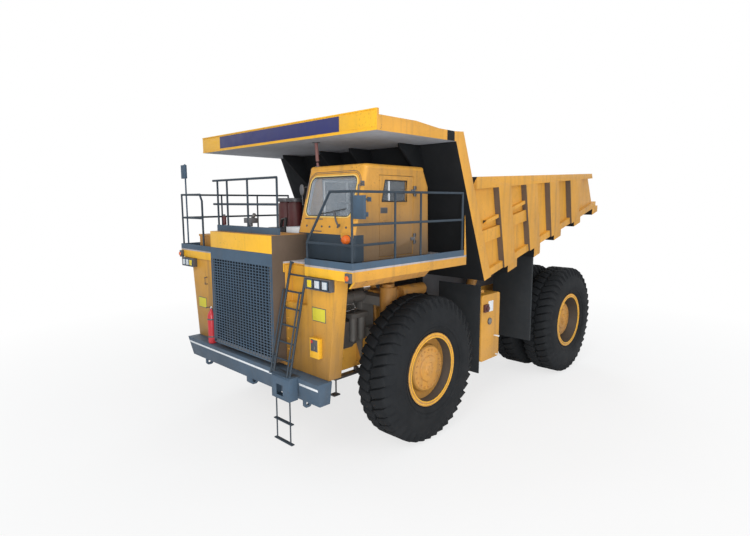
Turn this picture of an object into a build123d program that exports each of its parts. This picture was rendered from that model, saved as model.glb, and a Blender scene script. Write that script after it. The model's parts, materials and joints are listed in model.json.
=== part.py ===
from build123d import *
import os
from math import atan2, cos, sin

# A rigid dump truck at full size, in millimetres. X runs across the truck, with the cab at +X,
# Y runs from the front bumper to the tail, and Z runs up from the ground.
# "Station" is a distance behind the front axle; y_at() turns it into the model's Y.

# Overall lengths
NOSE = 2605
WHEELBASE = 5540
PIVOT_STATION = WHEELBASE + 910
TAIL = PIVOT_STATION + 910
FRONT_AXLE_Y = (NOSE - TAIL) / 2

# Clearances
RUN_GAP = 0.4
PANEL_GAP = 8
FACE_GAP = 0.3
HOIST_GAP = 10

# Tyres and rims
TYRE_R = 1350
TYRE_W = 740
BEAD_R = 622
FLANGE_R = 682
FLANGE_T = 26
RIM_WALL = 30
RIM_W = 560
HUB_R = 300
DRUM_R = 430
DISC_T = 46
FRONT_TYRE_X = 2140
REAR_TYRE_X = 2330
TWIN_PITCH = 900
LUGS = 32
LUG_WIDTH = 172
LUG_DEPTH = 62
LUG_SLANT = 12
LUG_INNER = 36
STAGGER_DROP = 6

# Steering
KINGPIN_X = 1350
KINGPIN_R = 110
SPINDLE_R = 120
STRUT_R = 170
STRUT_TOP = 2760
STRUT_LOW = 1640
STEER_ARM = 560
TIE_ROD_Z = 830
TIE_ROD_R = 42

# Main frame
RAIL_IN = 420
RAIL_OUT = 620
RAIL_FRONT = -2142
RAIL_LOW = 1040
RAIL_FRONT_TOP = 1530
RAIL_REAR_LOW = 1720
RAIL_REAR_TOP = 2120
KICK_START = 900
KICK_END = WHEELBASE - 3240
PIVOT_Z = 2250
PIVOT_R = 75
PIVOT_BOSS_R = 170

# Rear axle
AXLE_TUBE_R = 260
BANJO_R = 430
NOSE_LENGTH = 120
FINAL_R = 390
REAR_SPINDLE_R = 230
REAR_STRUT_X = 905
REAR_STRUT_R = 95
REAR_STRUT_STATION = WHEELBASE + 480
REAR_STRUT_TOP = 1990

# Engine and radiator
ENGINE_FRONT = -1450
ENGINE_REAR = 350
ENGINE_LOW = 1130
ENGINE_HALF = 560
CYLINDERS = 6
GEARBOX_STATIONS = (KICK_END - 50, KICK_END + 590)
COVER_PITCH = 270
UNIT_X = 970
UNIT_LOW_X = 800
FILTERS = (-590, -370)
FILTER_TOP = 2180
FILTER_R = 85
PUMP_STATIONS = (-1120, -780)
DUCT_X = 860
DUCT_Z = 2560
DUCT_R = 115
STARTER_Z = 1660
HOUSING_HALF = 995
HOUSING_FRONT = -2430
HOUSING_REAR = -1700
HOUSING_LOW = 1717
HOUSING_TOP = 3857
HEADER_LOW = 3557
GRILLE_TOP = 3350
HOUSING_WALL = 70
HEADER_T = 6
GRILLE_ROWS = 15
GRILLE_COLUMNS = 18
GRILLE_BAR = 26
HOOD_HALF = 690
HOOD_REAR = 500
HOOD_TOP = 3800

# Bumper
BUMPER_FRONT = -2432
BUMPER_TOP = 1612
BUMPER_LOW = 1225
BUMPER_HALF = 2110
BUMPER_HALF_LOW = 2053
BUMPER_DEPTH = RAIL_FRONT - BUMPER_FRONT
BUMPER_LEAN = 79
TOW_X = 1575
TOW_T = 50
TOW_MIDDLE = (-90, 70)
TOW_STATION = -2240
TOW_Z = 1150
TOW_HOLE_R = 38

# Step box on the bumper, ladder up to the landing and steps hanging below
STEP_X = (1140, 1600)
STEP_LOW = 1250
STEP_WALL = 14
STEP_HOLE = 180
LADDER_X = (1065, 1500)
LANDING_X = (1020, 1570)
LANDING_STATION = -2050
LADDER_FOOT = -2505
LADDER_HEAD = -2095
LADDER_RAIL_R = 21
RUNG_R = 15
GRAB_R = 14
GRAB_OFFSET = 72
GRAB_LOW = 1900
GRAB_HIGH = 2960
RUNG_LOW = 1850
RUNG_PITCH = 272
RUNGS = 6
HANG_STATION = -2560
HANG_RUNGS = (880, 540)

# Deck
DECK_HALF = 2664
DECK_FRONT = -2218
DECK_REAR = 700
DECK_TOP = 3420
DECK_PLATE = 30
FASCIA_TOP = 3390
FASCIA_LOW = 3240
SKIRT_LOW = 3130
SKIRT_IN = 110
KICK_T = 24
KICK_TOP = 3520
PANEL_STATION = -2183
PANEL_DEPTH = 260
PANEL_OUT_TOP = 2264
PANEL_OUT_LOW = 2084
PANEL_WALL = 40
PANEL_TOP = 3156
RECESS_LOW = 2750

# Handrails
RAIL_TUBE_R = 20
RAIL_TOP_Z = 4550
RAIL_MID_Z = 4070
RAIL_LOW_Z = 3770
RAIL_REAR = DECK_REAR - 90
POST_R = 18
RAIL_X = DECK_HALF - KICK_T - RAIL_TUBE_R - 1
RAIL_STATION = DECK_FRONT + KICK_T + RAIL_TUBE_R + 1


# Cab
WALKWAY = 514
CAB_WIDTH = 1430
CAB_OUT = DECK_HALF - WALKWAY
CAB_IN = CAB_OUT - CAB_WIDTH
CAB_FLOOR = 3450
CAB_WAIST = 3850
CAB_ROOF = 4940
CAB_FRONT_LOW = -1700
CAB_FRONT_TOP = -1400
CAB_REAR_LOW = 260
CAB_REAR_TOP = 100
CAB_WALL = 65
ROOF_T = 70
CAB_CORNER_R = 85
ROOF_EDGE_R = 55
SILL = CAB_WAIST + 320
HEAD = CAB_ROOF - 130
SCREEN_EDGE = 150
SCREEN_CORNER_R = 110
REAR_WINDOW = (CAB_FLOOR + 550, CAB_FLOOR + 1150)
SIDE_WINDOW = (CAB_FLOOR + 500, CAB_ROOF - 130)
SIDE_WINDOW_STATIONS = (-1150, 60)
GLASS_T = 10
GLASS_INSET = 28
REAR_PANE = 190
SEAT_X = 1480
SEAT_HALF = 250
SEAT_Z = 3900
WHEEL_RING_R = 205
DASH_TOP = SILL - 75
MIRROR_X = (CAB_OUT + 50, CAB_OUT + 310)
MIRROR_STATION = -1750
MIRROR_Z = (4140, 4500)
DOOR_FRONT = -1100
DOOR_REAR = -240
DOOR_LOW = 3490
DOOR_TOP = 4830
DOOR_WINDOW = [
    # station, z
    (DOOR_FRONT + 50, DOOR_LOW + 850),
    (DOOR_FRONT + 140, DOOR_TOP - 80),
    (DOOR_REAR - 170, DOOR_TOP - 80),
    (DOOR_REAR - 170, DOOR_LOW + 850),
]
HINGE_R = 18
HINGE_PIN_R = 9
HINGE_X = CAB_OUT + HINGE_R + 2
HINGE_STATION = -225
HINGE_HEIGHTS = (3750, 4580)
HINGE_HALF = 90

# Dump body
BODY_HALF = 2600
RIB_DEPTH = 130
SIDE_T = 40
FLOOR_T = 70
WALL_T = 60
HEAD_TOP = (PIVOT_STATION - 6120, 5620)
HEAD_TOP_REAR = (PIVOT_STATION - 5830, 5640)
VALLEY = (PIVOT_STATION - 5350, 4860)
RAIL_END = (PIVOT_STATION + 230, 5120)
TAIL_LOW = (TAIL - 210, 4240)
FLOOR_FRONT = (PIVOT_STATION - 5000, 2840)
FLOOR_SLOPE = (TAIL_LOW[1] - FLOOR_FRONT[1]) / (TAIL_LOW[0] - FLOOR_FRONT[0])
TOP_RAIL_FRONT_H = 230
TOP_RAIL_REAR_H = 120
CHASSIS_BEAM = (PIVOT_STATION - 4450, PIVOT_STATION - 200)
BODY_LUG_IN = 640
BODY_LUG_T = 90
BODY_EYE_R = 155
FLAP_X = (1500, 2500)
FLAP_STATION = PIVOT_STATION - 2790
FLAP_T = 55
FLAP_LOW = 1150

# Canopy over the cab and the hood
CANOPY_HALF = BODY_HALF + 9
CANOPY_FRONT = HEAD_TOP[0] - 1971
CANOPY_TOP = 5771
CANOPY_LOW = 5451
CANOPY_T = 45
CANOPY_EDGE = CANOPY_TOP - 131
CANOPY_SIDE_TOP = CANOPY_TOP - 91
CANOPY_SIDE_REAR = CANOPY_TOP - 171
GUSSET_X = (450, 1735)
GUSSET_T = 50
GUSSET_EDGE = 60
GUSSET_REACH = 550
GUSSET_LOW = CANOPY_LOW - 850

# Hoist cylinders
HOIST_X = 840
HOIST_LOW = (PIVOT_STATION - 3550, 1150)
HOIST_HIGH = (PIVOT_STATION - 2150, 3200)
HOIST_BARREL_R = 120
HOIST_BORE_R = 96
HOIST_ROD_R = 75
HOIST_EYE_R = 120
HOIST_EYE_T = 170
HOIST_PIN_R = 50
HOIST_PISTON = (160, 240)
HOIST_GLAND = (375, 330)

# Tanks and guards between the axles
TANK_X = (1300, 2300)
TANK_STATIONS = (1870, 2600)
TANK_Z = (1000, 2440)
TANK_CORNER_R = 60
OIL_TANK_X = -1750
OIL_TANK_Z = 1650
OIL_TANK_R = 420
GUARD_X = (1200, 2270)
GUARD_T = 24
GUARD_Z = (760, 2650)
AIR_TANK = (1150, 2550)
AIR_TANK_R = 130
COLUMN_X = (960, 1140)
COLUMN_STATIONS = (STRUT_R, 420)

# Things that stand on the deck, the bumper and the hood
CLEANER_X = (-1230, -890)
CLEANER_STATION = -500
CLEANER_R = 150
CLEANER_TOP = 4480
BATTERY_BOX = (-2050, -1000)
HOOD_RAIL_POSTS = (-970, -630, 50, 930)
HOOD_RAIL_STATION = -2250
HOOD_RAIL_BASE = HOUSING_TOP + 113
HOOD_RAIL_MID = 4360
HOOD_RAIL_TOP = 4800
MIRROR_POST = (-2540, -2110)
MIRROR_POST_TOP = 5190
LAMP_BOXES = [
    # low x, high x, low z, high z
    (1640, 2240, 3050, 3235),
    (-2540, -2050, 3060, 3235),
]
LAMP_BOX_DEPTH = 95
LAMP_R = 66

os.makedirs("parts", exist_ok=True)


def y_at(station):
    """Gives the model's Y of a distance behind the front axle."""
    return FRONT_AXLE_Y + station


def block(x, y, z, mode=Mode.ADD):
    """Adds a plate between (low, high) pairs, with the Y pair as stations."""
    middle = ((x[0] + x[1]) / 2, y_at((y[0] + y[1]) / 2), (z[0] + z[1]) / 2)
    with Locations(middle):
        Box(x[1] - x[0], y[1] - y[0], z[1] - z[0], mode=mode)


def side_on(points, x, mode=Mode.ADD):
    """Extrudes an outline of (station, z) points between two values of X."""
    with BuildSketch(Plane.YZ.offset(x[0])) as outline:
        with BuildLine():
            Polyline(*[(y_at(s), z) for s, z in points], close=True)
        make_face()
    extrude(outline.sketch, amount=x[1] - x[0], mode=mode)


def front_on(points, y, mode=Mode.ADD):
    """Extrudes an outline of (x, z) points between two stations."""
    with BuildSketch(Plane.XZ.offset(-y_at(y[1]))) as outline:
        with BuildLine():
            Polyline(*points, close=True)
        make_face()
    extrude(outline.sketch, amount=y[1] - y[0], mode=mode)


def from_above(points, z, mode=Mode.ADD):
    """Extrudes an outline of (x, station) points between two heights."""
    with BuildSketch(Plane.XY.offset(z[0])) as outline:
        with BuildLine():
            Polyline(*[(x, y_at(s)) for x, s in points], close=True)
        make_face()
    extrude(outline.sketch, amount=z[1] - z[0], mode=mode)


def place(point):
    """Turns (x, station, z) into a model vector."""
    return Vector(point[0], y_at(point[1]), point[2])


def bar(start, end, radius, mode=Mode.ADD):
    """Adds a round bar between two (x, station, z) points."""
    path = place(end) - place(start)
    with BuildSketch(Plane(origin=place(start), z_dir=path)) as disc:
        Circle(radius)
    extrude(disc.sketch, amount=path.length, mode=mode)


def turned(outline, centre, side, mode=Mode.ADD):
    """Revolves (distance outboard, radius) points about a wheel's axis; side is 1 for +X."""
    with BuildSketch(Plane(origin=centre, x_dir=(side, 0, 0), z_dir=(0, -side, 0))) as half:
        with BuildLine():
            Polyline(*outline, close=True)
        make_face()
    revolve(half.sketch, axis=Axis(centre, (1, 0, 0)), mode=mode)


def save(builder, name):
    """Labels a finished piece and writes its STEP file."""
    builder.part.label = name
    export_step(builder.part, f"parts/{name}.step")


def line_z(start, end, station):
    """Gives the height at a station on the line through two (station, z) points."""
    share = (station - start[0]) / (end[0] - start[0])
    return start[1] + share * (end[1] - start[1])


def floor_z(station):
    """Gives the height of the dump body's floor edge."""
    return line_z(FLOOR_FRONT, TAIL_LOW, station)


def head_station(z):
    """Gives the station of the dump body's front edge at a height."""
    return line_z((HEAD_TOP[1], HEAD_TOP[0]), (FLOOR_FRONT[1], FLOOR_FRONT[0]), z)


SIDES = {"left": 1, "right": -1}


def both(x, side):
    """Mirrors an (inner, outer) pair of X values to the named side, low value first."""
    return (x[0], x[1]) if side > 0 else (-x[1], -x[0])


# Tyres: a round casing on its bead, with a row of slanted lugs on each shoulder
BEAD_HALF = RIM_W / 2 - FACE_GAP
CASING_R = TYRE_R - LUG_DEPTH
CASING_HALF = [
    # distance from the middle, radius
    (BEAD_HALF, BEAD_R + FACE_GAP),
    (BEAD_HALF, FLANGE_R + 8),
    (TYRE_W / 2 - 20, FLANGE_R + 90),
    (TYRE_W / 2, 960),
    (TYRE_W / 2 - 28, 1160),
    (TYRE_W / 2 - 80, CASING_R - 30),
    (TYRE_W / 2 - 170, CASING_R),
]
LUG_SECTION = [
    # distance from the middle, radius
    (LUG_INNER, CASING_R - 30),
    (LUG_INNER + 14, TYRE_R),
    (TYRE_W / 2 - 120, TYRE_R),
    (TYRE_W / 2 - 58, TYRE_R - 34),
    (TYRE_W / 2 - 12, 1150),
    (TYRE_W / 2 - 60, 1120),
]


def mirrored(points):
    """Closes a half outline of (distance, radius) points with its mirror image."""
    return points + [(-along, radius) for along, radius in reversed(points)]


def lug_row(side, phase, drop):
    """Adds one shoulder's lugs round a tyre whose axle is the X axis through the origin."""
    for step in range(LUGS):
        turn = Location((0, 0, 0), ((step + phase) * 360 / LUGS, 0, 0))
        slant = Location((0, 0, 0), (0, 0, side * LUG_SLANT))
        base = turn * slant * Location((0, LUG_WIDTH / 2, -drop))
        with BuildSketch(Plane(base) * Plane.XZ) as section:
            with BuildLine():
                Polyline(*[(side * along, -radius) for along, radius in LUG_SECTION], close=True)
            make_face()
        extrude(section.sketch, amount=LUG_WIDTH)


with BuildPart() as tyre:
    turned(mirrored(CASING_HALF), (0, 0, 0), 1)
    lug_row(1, 0, 0)
    lug_row(-1, 0.5, -STAGGER_DROP)


def placed_tyre(centre, side):
    """Adds a copy of the tyre at a wheel's middle, turned about for the right side."""
    turn = 0 if side > 0 else 180
    add(tyre.part.moved(Location(centre, (0, 0, turn))))


def rim_outline(disc_at, disc_in):
    """Gives the section of a rim whose disc stands outboard of its middle by disc_at."""
    half = RIM_W / 2
    return [
        (-half - FLANGE_T, BEAD_R - RIM_WALL),
        (-half - FLANGE_T, FLANGE_R),
        (-half, FLANGE_R),
        (-half, BEAD_R),
        (half, BEAD_R),
        (half, FLANGE_R),
        (half + FLANGE_T, FLANGE_R),
        (half + FLANGE_T, BEAD_R - RIM_WALL),
        (disc_at + DISC_T, BEAD_R - RIM_WALL),
        (disc_at + DISC_T, disc_in),
        (disc_at, disc_in),
        (disc_at, BEAD_R - RIM_WALL),
    ]


for side_name, side in SIDES.items():
    front_centre = (side * FRONT_TYRE_X, FRONT_AXLE_Y, TYRE_R)
    with BuildPart() as front_tyre:
        placed_tyre(front_centre, side)
    save(front_tyre, f"front_tyre_{side_name}")

    with BuildPart() as front_rim:
        turned(rim_outline(60, HUB_R - 60), front_centre, side)
        turned(
            [
                (-180, SPINDLE_R + RUN_GAP),
                (-180, HUB_R),
                (60, HUB_R),
                (60, DRUM_R + 30),
                (190, DRUM_R),
                (212, DRUM_R - 30),
                (212, 245),
                (236, 230),
                (236, 125),
                (262, 105),
                (262, 0),
                (150, 0),
                (150, SPINDLE_R + RUN_GAP),
            ],
            front_centre,
            side,
        )
    save(front_rim, f"front_rim_{side_name}")

    rear_centre = (side * REAR_TYRE_X, y_at(WHEELBASE), TYRE_R)
    inner_centre = (side * (REAR_TYRE_X - TWIN_PITCH), y_at(WHEELBASE), TYRE_R)
    with BuildPart() as rear_tyres:
        placed_tyre(rear_centre, side)
        placed_tyre(inner_centre, side)
    save(rear_tyres, f"rear_tyres_{side_name}")

    rim_end = RIM_W / 2 + FLANGE_T
    with BuildPart() as rear_rims:
        turned(rim_outline(-60, 330), rear_centre, side)
        turned(rim_outline(60, FINAL_R + 60), inner_centre, side)
        turned(
            [
                (-TWIN_PITCH + rim_end, BEAD_R - RIM_WALL),
                (-TWIN_PITCH + rim_end, BEAD_R),
                (-rim_end, BEAD_R),
                (-rim_end, BEAD_R - RIM_WALL),
            ],
            rear_centre,
            side,
        )
        turned(
            [
                (-420, REAR_SPINDLE_R + RUN_GAP),
                (-420, REAR_SPINDLE_R + 90),
                (-60, 340),
                (-60, DRUM_R + 30),
                (110, DRUM_R),
                (132, DRUM_R - 30),
                (132, 245),
                (156, 230),
                (156, 125),
                (182, 105),
                (182, 0),
                (60, 0),
                (60, REAR_SPINDLE_R + RUN_GAP),
            ],
            rear_centre,
            side,
        )
    save(rear_rims, f"rear_rims_{side_name}")

    # Steering knuckle: the strut's rod is the kingpin, with a spindle and an arm fused to it
    king_x = side * KINGPIN_X
    spindle_end = FRONT_TYRE_X + 140
    with BuildPart() as knuckle:
        bar((king_x, 0, 1120), (king_x, 0, STRUT_LOW - FACE_GAP - 20), KINGPIN_R + 60)
        bar((king_x, 0, STRUT_LOW - 60), (king_x, 0, STRUT_LOW + 500), KINGPIN_R)
        bar((king_x, 0, TYRE_R), (side * (FRONT_TYRE_X - 200), 0, TYRE_R), SPINDLE_R + 50)
        bar((king_x, 0, TYRE_R), (side * spindle_end, 0, TYRE_R), SPINDLE_R)
        bar((king_x, 0, TIE_ROD_Z + 60), (king_x, 0, 1130), 120)
        from_above(
            [
                (king_x - 110, 0),
                (king_x + 110, 0),
                (king_x + 60, STEER_ARM),
                (king_x - 60, STEER_ARM),
            ],
            (TIE_ROD_Z + TIE_ROD_R + 20, TIE_ROD_Z + TIE_ROD_R + 90),
        )
        bar(
            (king_x, STEER_ARM - 10, TIE_ROD_Z - 60),
            (king_x, STEER_ARM - 10, TIE_ROD_Z + 80),
            30,
        )
    save(knuckle, f"knuckle_{side_name}")

# Tie rod between the two arms
with BuildPart() as tie_rod:
    bar(
        (-KINGPIN_X + 60, STEER_ARM - 10, TIE_ROD_Z),
        (KINGPIN_X - 60, STEER_ARM - 10, TIE_ROD_Z),
        TIE_ROD_R,
    )
    for x in (-KINGPIN_X, KINGPIN_X):
        bar((x, STEER_ARM - 10, TIE_ROD_Z - 50), (x, STEER_ARM - 10, TIE_ROD_Z + 50), 75)
        bore = 30 + (RUN_GAP if x > 0 else 12)
        bar(
            (x, STEER_ARM - 10, TIE_ROD_Z - 60),
            (x, STEER_ARM - 10, TIE_ROD_Z + 60),
            bore,
            Mode.SUBTRACT,
        )
save(tie_rod, "tie_rod")

# Main frame: two box rails that rise over the rear axle, with cross-members and strut arms
RAIL_OUTLINE = [
    (RAIL_FRONT, RAIL_LOW + 60),
    (RAIL_FRONT + 120, RAIL_LOW),
    (KICK_START + 400, RAIL_LOW),
    (KICK_END + 900, RAIL_REAR_LOW),
    (PIVOT_STATION - 60, RAIL_REAR_LOW),
    (PIVOT_STATION + 60, PIVOT_Z - 100),
    (PIVOT_STATION, PIVOT_Z),
    (PIVOT_STATION - 260, RAIL_REAR_TOP),
    (KICK_END, RAIL_REAR_TOP),
    (KICK_START, RAIL_FRONT_TOP),
    (RAIL_FRONT, RAIL_FRONT_TOP),
]
CROSS_MEMBERS = [
    # station, depth along Y, low z, high z
    (RAIL_FRONT + 20, 200, RAIL_LOW + 70, RAIL_FRONT_TOP - 60),
    (650, 220, RAIL_LOW + 40, RAIL_FRONT_TOP - 110),
    (HOIST_LOW[0], 260, 1620, 2060),
    (PIVOT_STATION - 330, 300, RAIL_REAR_LOW, RAIL_REAR_TOP - 20),
]
with BuildPart() as frame:
    for side in SIDES.values():
        side_on(RAIL_OUTLINE, both((RAIL_IN, RAIL_OUT), side))
        ends = both((RAIL_IN, RAIL_OUT), side)
        bar((ends[0], PIVOT_STATION, PIVOT_Z), (ends[1], PIVOT_STATION, PIVOT_Z), PIVOT_BOSS_R)
        pin = both((RAIL_IN - 60, BODY_LUG_IN + BODY_LUG_T + 30), side)
        bar((pin[0], PIVOT_STATION, PIVOT_Z), (pin[1], PIVOT_STATION, PIVOT_Z), PIVOT_R)
        arm = both((RAIL_OUT - 10, KINGPIN_X), side)
        for low, high in ((1700, 1900), (2380, 2560)):
            block(arm, (-130, 130), (low, high))
            bar((side * KINGPIN_X, 0, low - 1), (side * KINGPIN_X, 0, high + 1), STRUT_R, Mode.SUBTRACT)
        post = both((RAIL_OUT - 40, RAIL_OUT + 160), side)
        block(post, (-170, 170), (RAIL_FRONT_TOP - 60, 2560))
        block(both((RAIL_IN, RAIL_OUT + 160), side), (-170, 170), (RAIL_LOW + 100, RAIL_FRONT_TOP))
        strut_arm = both((RAIL_OUT - 10, REAR_STRUT_X + 60), side)
        block(strut_arm, (REAR_STRUT_STATION - 90, REAR_STRUT_STATION + 90), (REAR_STRUT_TOP, 2110))
        hoist_pin = both((RAIL_OUT - 10, HOIST_X + HOIST_EYE_T / 2 + 30), side)
        bar(
            (hoist_pin[0], HOIST_LOW[0], HOIST_LOW[1]),
            (hoist_pin[1], HOIST_LOW[0], HOIST_LOW[1]),
            HOIST_PIN_R,
        )
        hanger = both((RAIL_OUT - 30, HOIST_X - HOIST_BARREL_R - 15), side)
        side_on(
            [
                (HOIST_LOW[0] - 160, HOIST_LOW[1] - 140),
                (HOIST_LOW[0] + 160, HOIST_LOW[1] - 140),
                (HOIST_LOW[0] + 260, RAIL_REAR_LOW + 100),
                (HOIST_LOW[0] - 420, RAIL_REAR_LOW),
            ],
            hanger,
        )
    for station, depth, low, high in CROSS_MEMBERS:
        block((-RAIL_IN, RAIL_IN), (station, station + depth), (low, high))
save(frame, "frame")

# Suspension struts: the front pair carries the knuckles, the rear pair stands on the axle
with BuildPart() as struts:
    for side in SIDES.values():
        king_x = side * KINGPIN_X
        rear_x = side * REAR_STRUT_X
        rear = REAR_STRUT_STATION
        bar((rear_x, rear, TYRE_R + 120), (rear_x, rear, 1700), REAR_STRUT_R - 30)
        bar((rear_x, rear, 1620), (rear_x, rear, REAR_STRUT_TOP), REAR_STRUT_R)
        bar((king_x, 0, STRUT_LOW), (king_x, 0, STRUT_TOP), STRUT_R)
        bar((king_x, 0, STRUT_TOP), (king_x, 0, STRUT_TOP + 60), STRUT_R - 50)
        bar((king_x, 0, STRUT_LOW), (king_x, 0, STRUT_LOW + 560), KINGPIN_R + RUN_GAP, Mode.SUBTRACT)
save(struts, "struts")

with BuildPart() as rear_axle:
    inner_face = REAR_TYRE_X - TWIN_PITCH - 100
    bar((-inner_face, WHEELBASE, TYRE_R), (inner_face, WHEELBASE, TYRE_R), AXLE_TUBE_R)
    with Locations(place((0, WHEELBASE, TYRE_R))):
        Sphere(BANJO_R)
    bar((0, WHEELBASE - BANJO_R - NOSE_LENGTH, TYRE_R), (0, WHEELBASE, TYRE_R), 150)
    for side in SIDES.values():
        reach = (side * (REAR_TYRE_X - 700), side * inner_face)
        bar((reach[1], WHEELBASE, TYRE_R), (reach[0], WHEELBASE, TYRE_R), FINAL_R)
        bar((reach[0], WHEELBASE, TYRE_R), (side * (REAR_TYRE_X + 50), WHEELBASE, TYRE_R), REAR_SPINDLE_R)
        block(
            both((REAR_STRUT_X - 60, REAR_STRUT_X + 60), side),
            (WHEELBASE + 150, REAR_STRUT_STATION + 90),
            (TYRE_R - 60, TYRE_R + 120),
        )
save(rear_axle, "rear_axle")

# Open engine: a vee block with heads, covers, manifolds, fan and blowers
with BuildPart() as engine:
    block((-300, 300), (ENGINE_FRONT + 100, ENGINE_REAR - 80), (ENGINE_LOW, RAIL_FRONT_TOP))
    front_on(
        [(-300, 1500), (300, 1500), (ENGINE_HALF, 2150), (420, 2420), (120, 2200), (-120, 2200),
         (-420, 2420), (-ENGINE_HALF, 2150)],
        (ENGINE_FRONT + 60, ENGINE_REAR),
    )
    bar((0, ENGINE_FRONT - 120, 1900), (0, ENGINE_FRONT + 100, 1900), 190)
    bar((0, ENGINE_FRONT - 160, 1900), (0, ENGINE_FRONT - 120, 1900), 420)
    for side in SIDES.values():
        block(both((250, RAIL_IN), side), (-900, -700), (RAIL_FRONT_TOP - 180, RAIL_FRONT_TOP - 20))
        bar((side * 200, ENGINE_FRONT + 200, 2520), (side * 200, ENGINE_REAR - 100, 2520), 100)
        block(both((150, 250), side), (ENGINE_FRONT + 250, ENGINE_REAR - 150), (2200, 2520))
        for cover in range(CYLINDERS):
            station = ENGINE_FRONT + 140 + cover * COVER_PITCH
            front_on(
                [(side * 340, 2420), (side * ENGINE_HALF, 2190), (side * (ENGINE_HALF + 12), 2230),
                 (side * 410, 2510)],
                (station, station + COVER_PITCH - 60),
            )
            bar((side * 400, station + 90, 1960), (side * 480, station + 90, 2000), 45)
        bar((side * 490, ENGINE_FRONT + 120, 2000), (side * 490, ENGINE_REAR - 120, 2000), 75)
        bar((side * 330, ENGINE_FRONT + 300, 1700), (side * 330, ENGINE_FRONT + 620, 1700), 110)
        bar((side * 300, ENGINE_REAR - 420, 2600), (side * 300, ENGINE_REAR - 160, 2600), 170)
        block(both((ENGINE_HALF - 60, UNIT_X - 60), side), (-520, -380), (FILTER_TOP - 20, FILTER_TOP + 60))
        block(both((UNIT_X - 90, UNIT_X + 90), side), (FILTERS[0] - 110, FILTERS[-1] + 110), (FILTER_TOP, FILTER_TOP + 90))
        for station in FILTERS:
            bar((side * UNIT_X, station, FILTER_TOP - 430), (side * UNIT_X, station, FILTER_TOP), FILTER_R)
            bar((side * UNIT_X, station, FILTER_TOP - 470), (side * UNIT_X, station, FILTER_TOP - 425), FILTER_R - 45)
        block(both((ENGINE_HALF - 180, UNIT_X - 110), side), (-1090, -960), (1850, 1960))
        block(both((UNIT_X - 130, UNIT_X + 90), side), PUMP_STATIONS, (1700, 2150))
        bar((side * UNIT_X, PUMP_STATIONS[0] - 60, 1930), (side * UNIT_X, PUMP_STATIONS[0] + 5, 1930), 80)
        bar((side * UNIT_X, PUMP_STATIONS[0] + 90, 2145), (side * UNIT_X, PUMP_STATIONS[0] + 90, 2260), 55)
        bar((side * 200, -700, 2520), (side * DUCT_X, -700, DUCT_Z), 70)
        bar((side * DUCT_X, -1150, DUCT_Z), (side * DUCT_X, -260, DUCT_Z), DUCT_R)
        bar((side * DUCT_X, -1190, DUCT_Z), (side * DUCT_X, -1145, DUCT_Z), DUCT_R + 25)
        bar((side * 340, -800, STARTER_Z), (side * UNIT_LOW_X, -800, STARTER_Z), 45)
        bar((side * UNIT_LOW_X, -980, STARTER_Z), (side * UNIT_LOW_X, -520, STARTER_Z), 105)
        bar((side * UNIT_LOW_X, -525, STARTER_Z), (side * UNIT_LOW_X, -440, STARTER_Z), 70)
save(engine, "engine")

with BuildPart() as driveline:
    bar((0, ENGINE_REAR, 1600), (0, ENGINE_REAR + 60, 1600), 130)
    bar((0, ENGINE_REAR + 30, 1600), (0, GEARBOX_STATIONS[0] + 20, 1640), 70)
    block((-330, 330), GEARBOX_STATIONS, (1350, 1990))
    nose = WHEELBASE - BANJO_R - NOSE_LENGTH
    bar((0, GEARBOX_STATIONS[1] - 10, 1500), (0, nose - 30, TYRE_R), 75)
    bar((0, nose - 60, TYRE_R), (0, nose, TYRE_R), 130)
save(driveline, "driveline")

# Radiator housing: an open box with the core inside and the grille across its mouth
with BuildPart() as radiator_housing:
    block((-HOUSING_HALF, HOUSING_HALF), (HOUSING_FRONT, HOUSING_REAR), (HOUSING_LOW, HOUSING_TOP))
    inner = HOUSING_HALF - HOUSING_WALL
    block(
        (-inner, inner),
        (HOUSING_FRONT - 10, HOUSING_REAR + 10),
        (HOUSING_LOW + HOUSING_WALL, GRILLE_TOP),
        Mode.SUBTRACT,
    )
    for side in SIDES.values():
        block(
            both((RAIL_IN, RAIL_OUT), side),
            (-2100, -1900),
            (RAIL_FRONT_TOP, HOUSING_LOW),
        )
save(radiator_housing, "radiator_housing")

with BuildPart() as grille:
    inner = HOUSING_HALF - HOUSING_WALL
    low, high = HOUSING_LOW + HOUSING_WALL, GRILLE_TOP
    front_on([(-inner, low), (inner, low), (inner, high), (-inner, high)], (-2400, -2370))
    rows, columns = GRILLE_ROWS, GRILLE_COLUMNS
    with BuildSketch(Plane.XZ.offset(-y_at(-2360))) as holes:
        with Locations((0, (low + high) / 2)):
            with GridLocations(2 * inner / columns, (high - low) / rows, columns, rows):
                Rectangle(2 * inner / columns - GRILLE_BAR, (high - low) / rows - GRILLE_BAR)
    extrude(holes.sketch, amount=60, mode=Mode.SUBTRACT)
    face = (HOUSING_FRONT - HEADER_T, HOUSING_FRONT)
    block((-HOUSING_HALF, HOUSING_HALF), face, (GRILLE_TOP, HEADER_LOW))
    for side in SIDES.values():
        block(both((inner, HOUSING_HALF), side), face, (HOUSING_LOW, GRILLE_TOP))
save(grille, "grille")

with BuildPart() as radiator:
    inner = HOUSING_HALF - HOUSING_WALL
    block(
        (-inner, inner),
        (-2280, -2020),
        (HOUSING_LOW + HOUSING_WALL, GRILLE_TOP),
    )
    bar((300, -2030, 2280), (300, ENGINE_FRONT + 60, 2280), 55)
save(radiator, "radiator")

with BuildPart() as hood:
    hood_low = SKIRT_LOW
    block((-HOOD_HALF, HOOD_HALF), (HOUSING_REAR, HOOD_REAR), (hood_low, HOOD_TOP))
    block(
        (-HOOD_HALF + 40, HOOD_HALF - 40),
        (HOUSING_REAR - 1, HOOD_REAR - 40),
        (hood_low - 1, HOOD_TOP - 40),
        Mode.SUBTRACT,
    )
save(hood, "hood")

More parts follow.
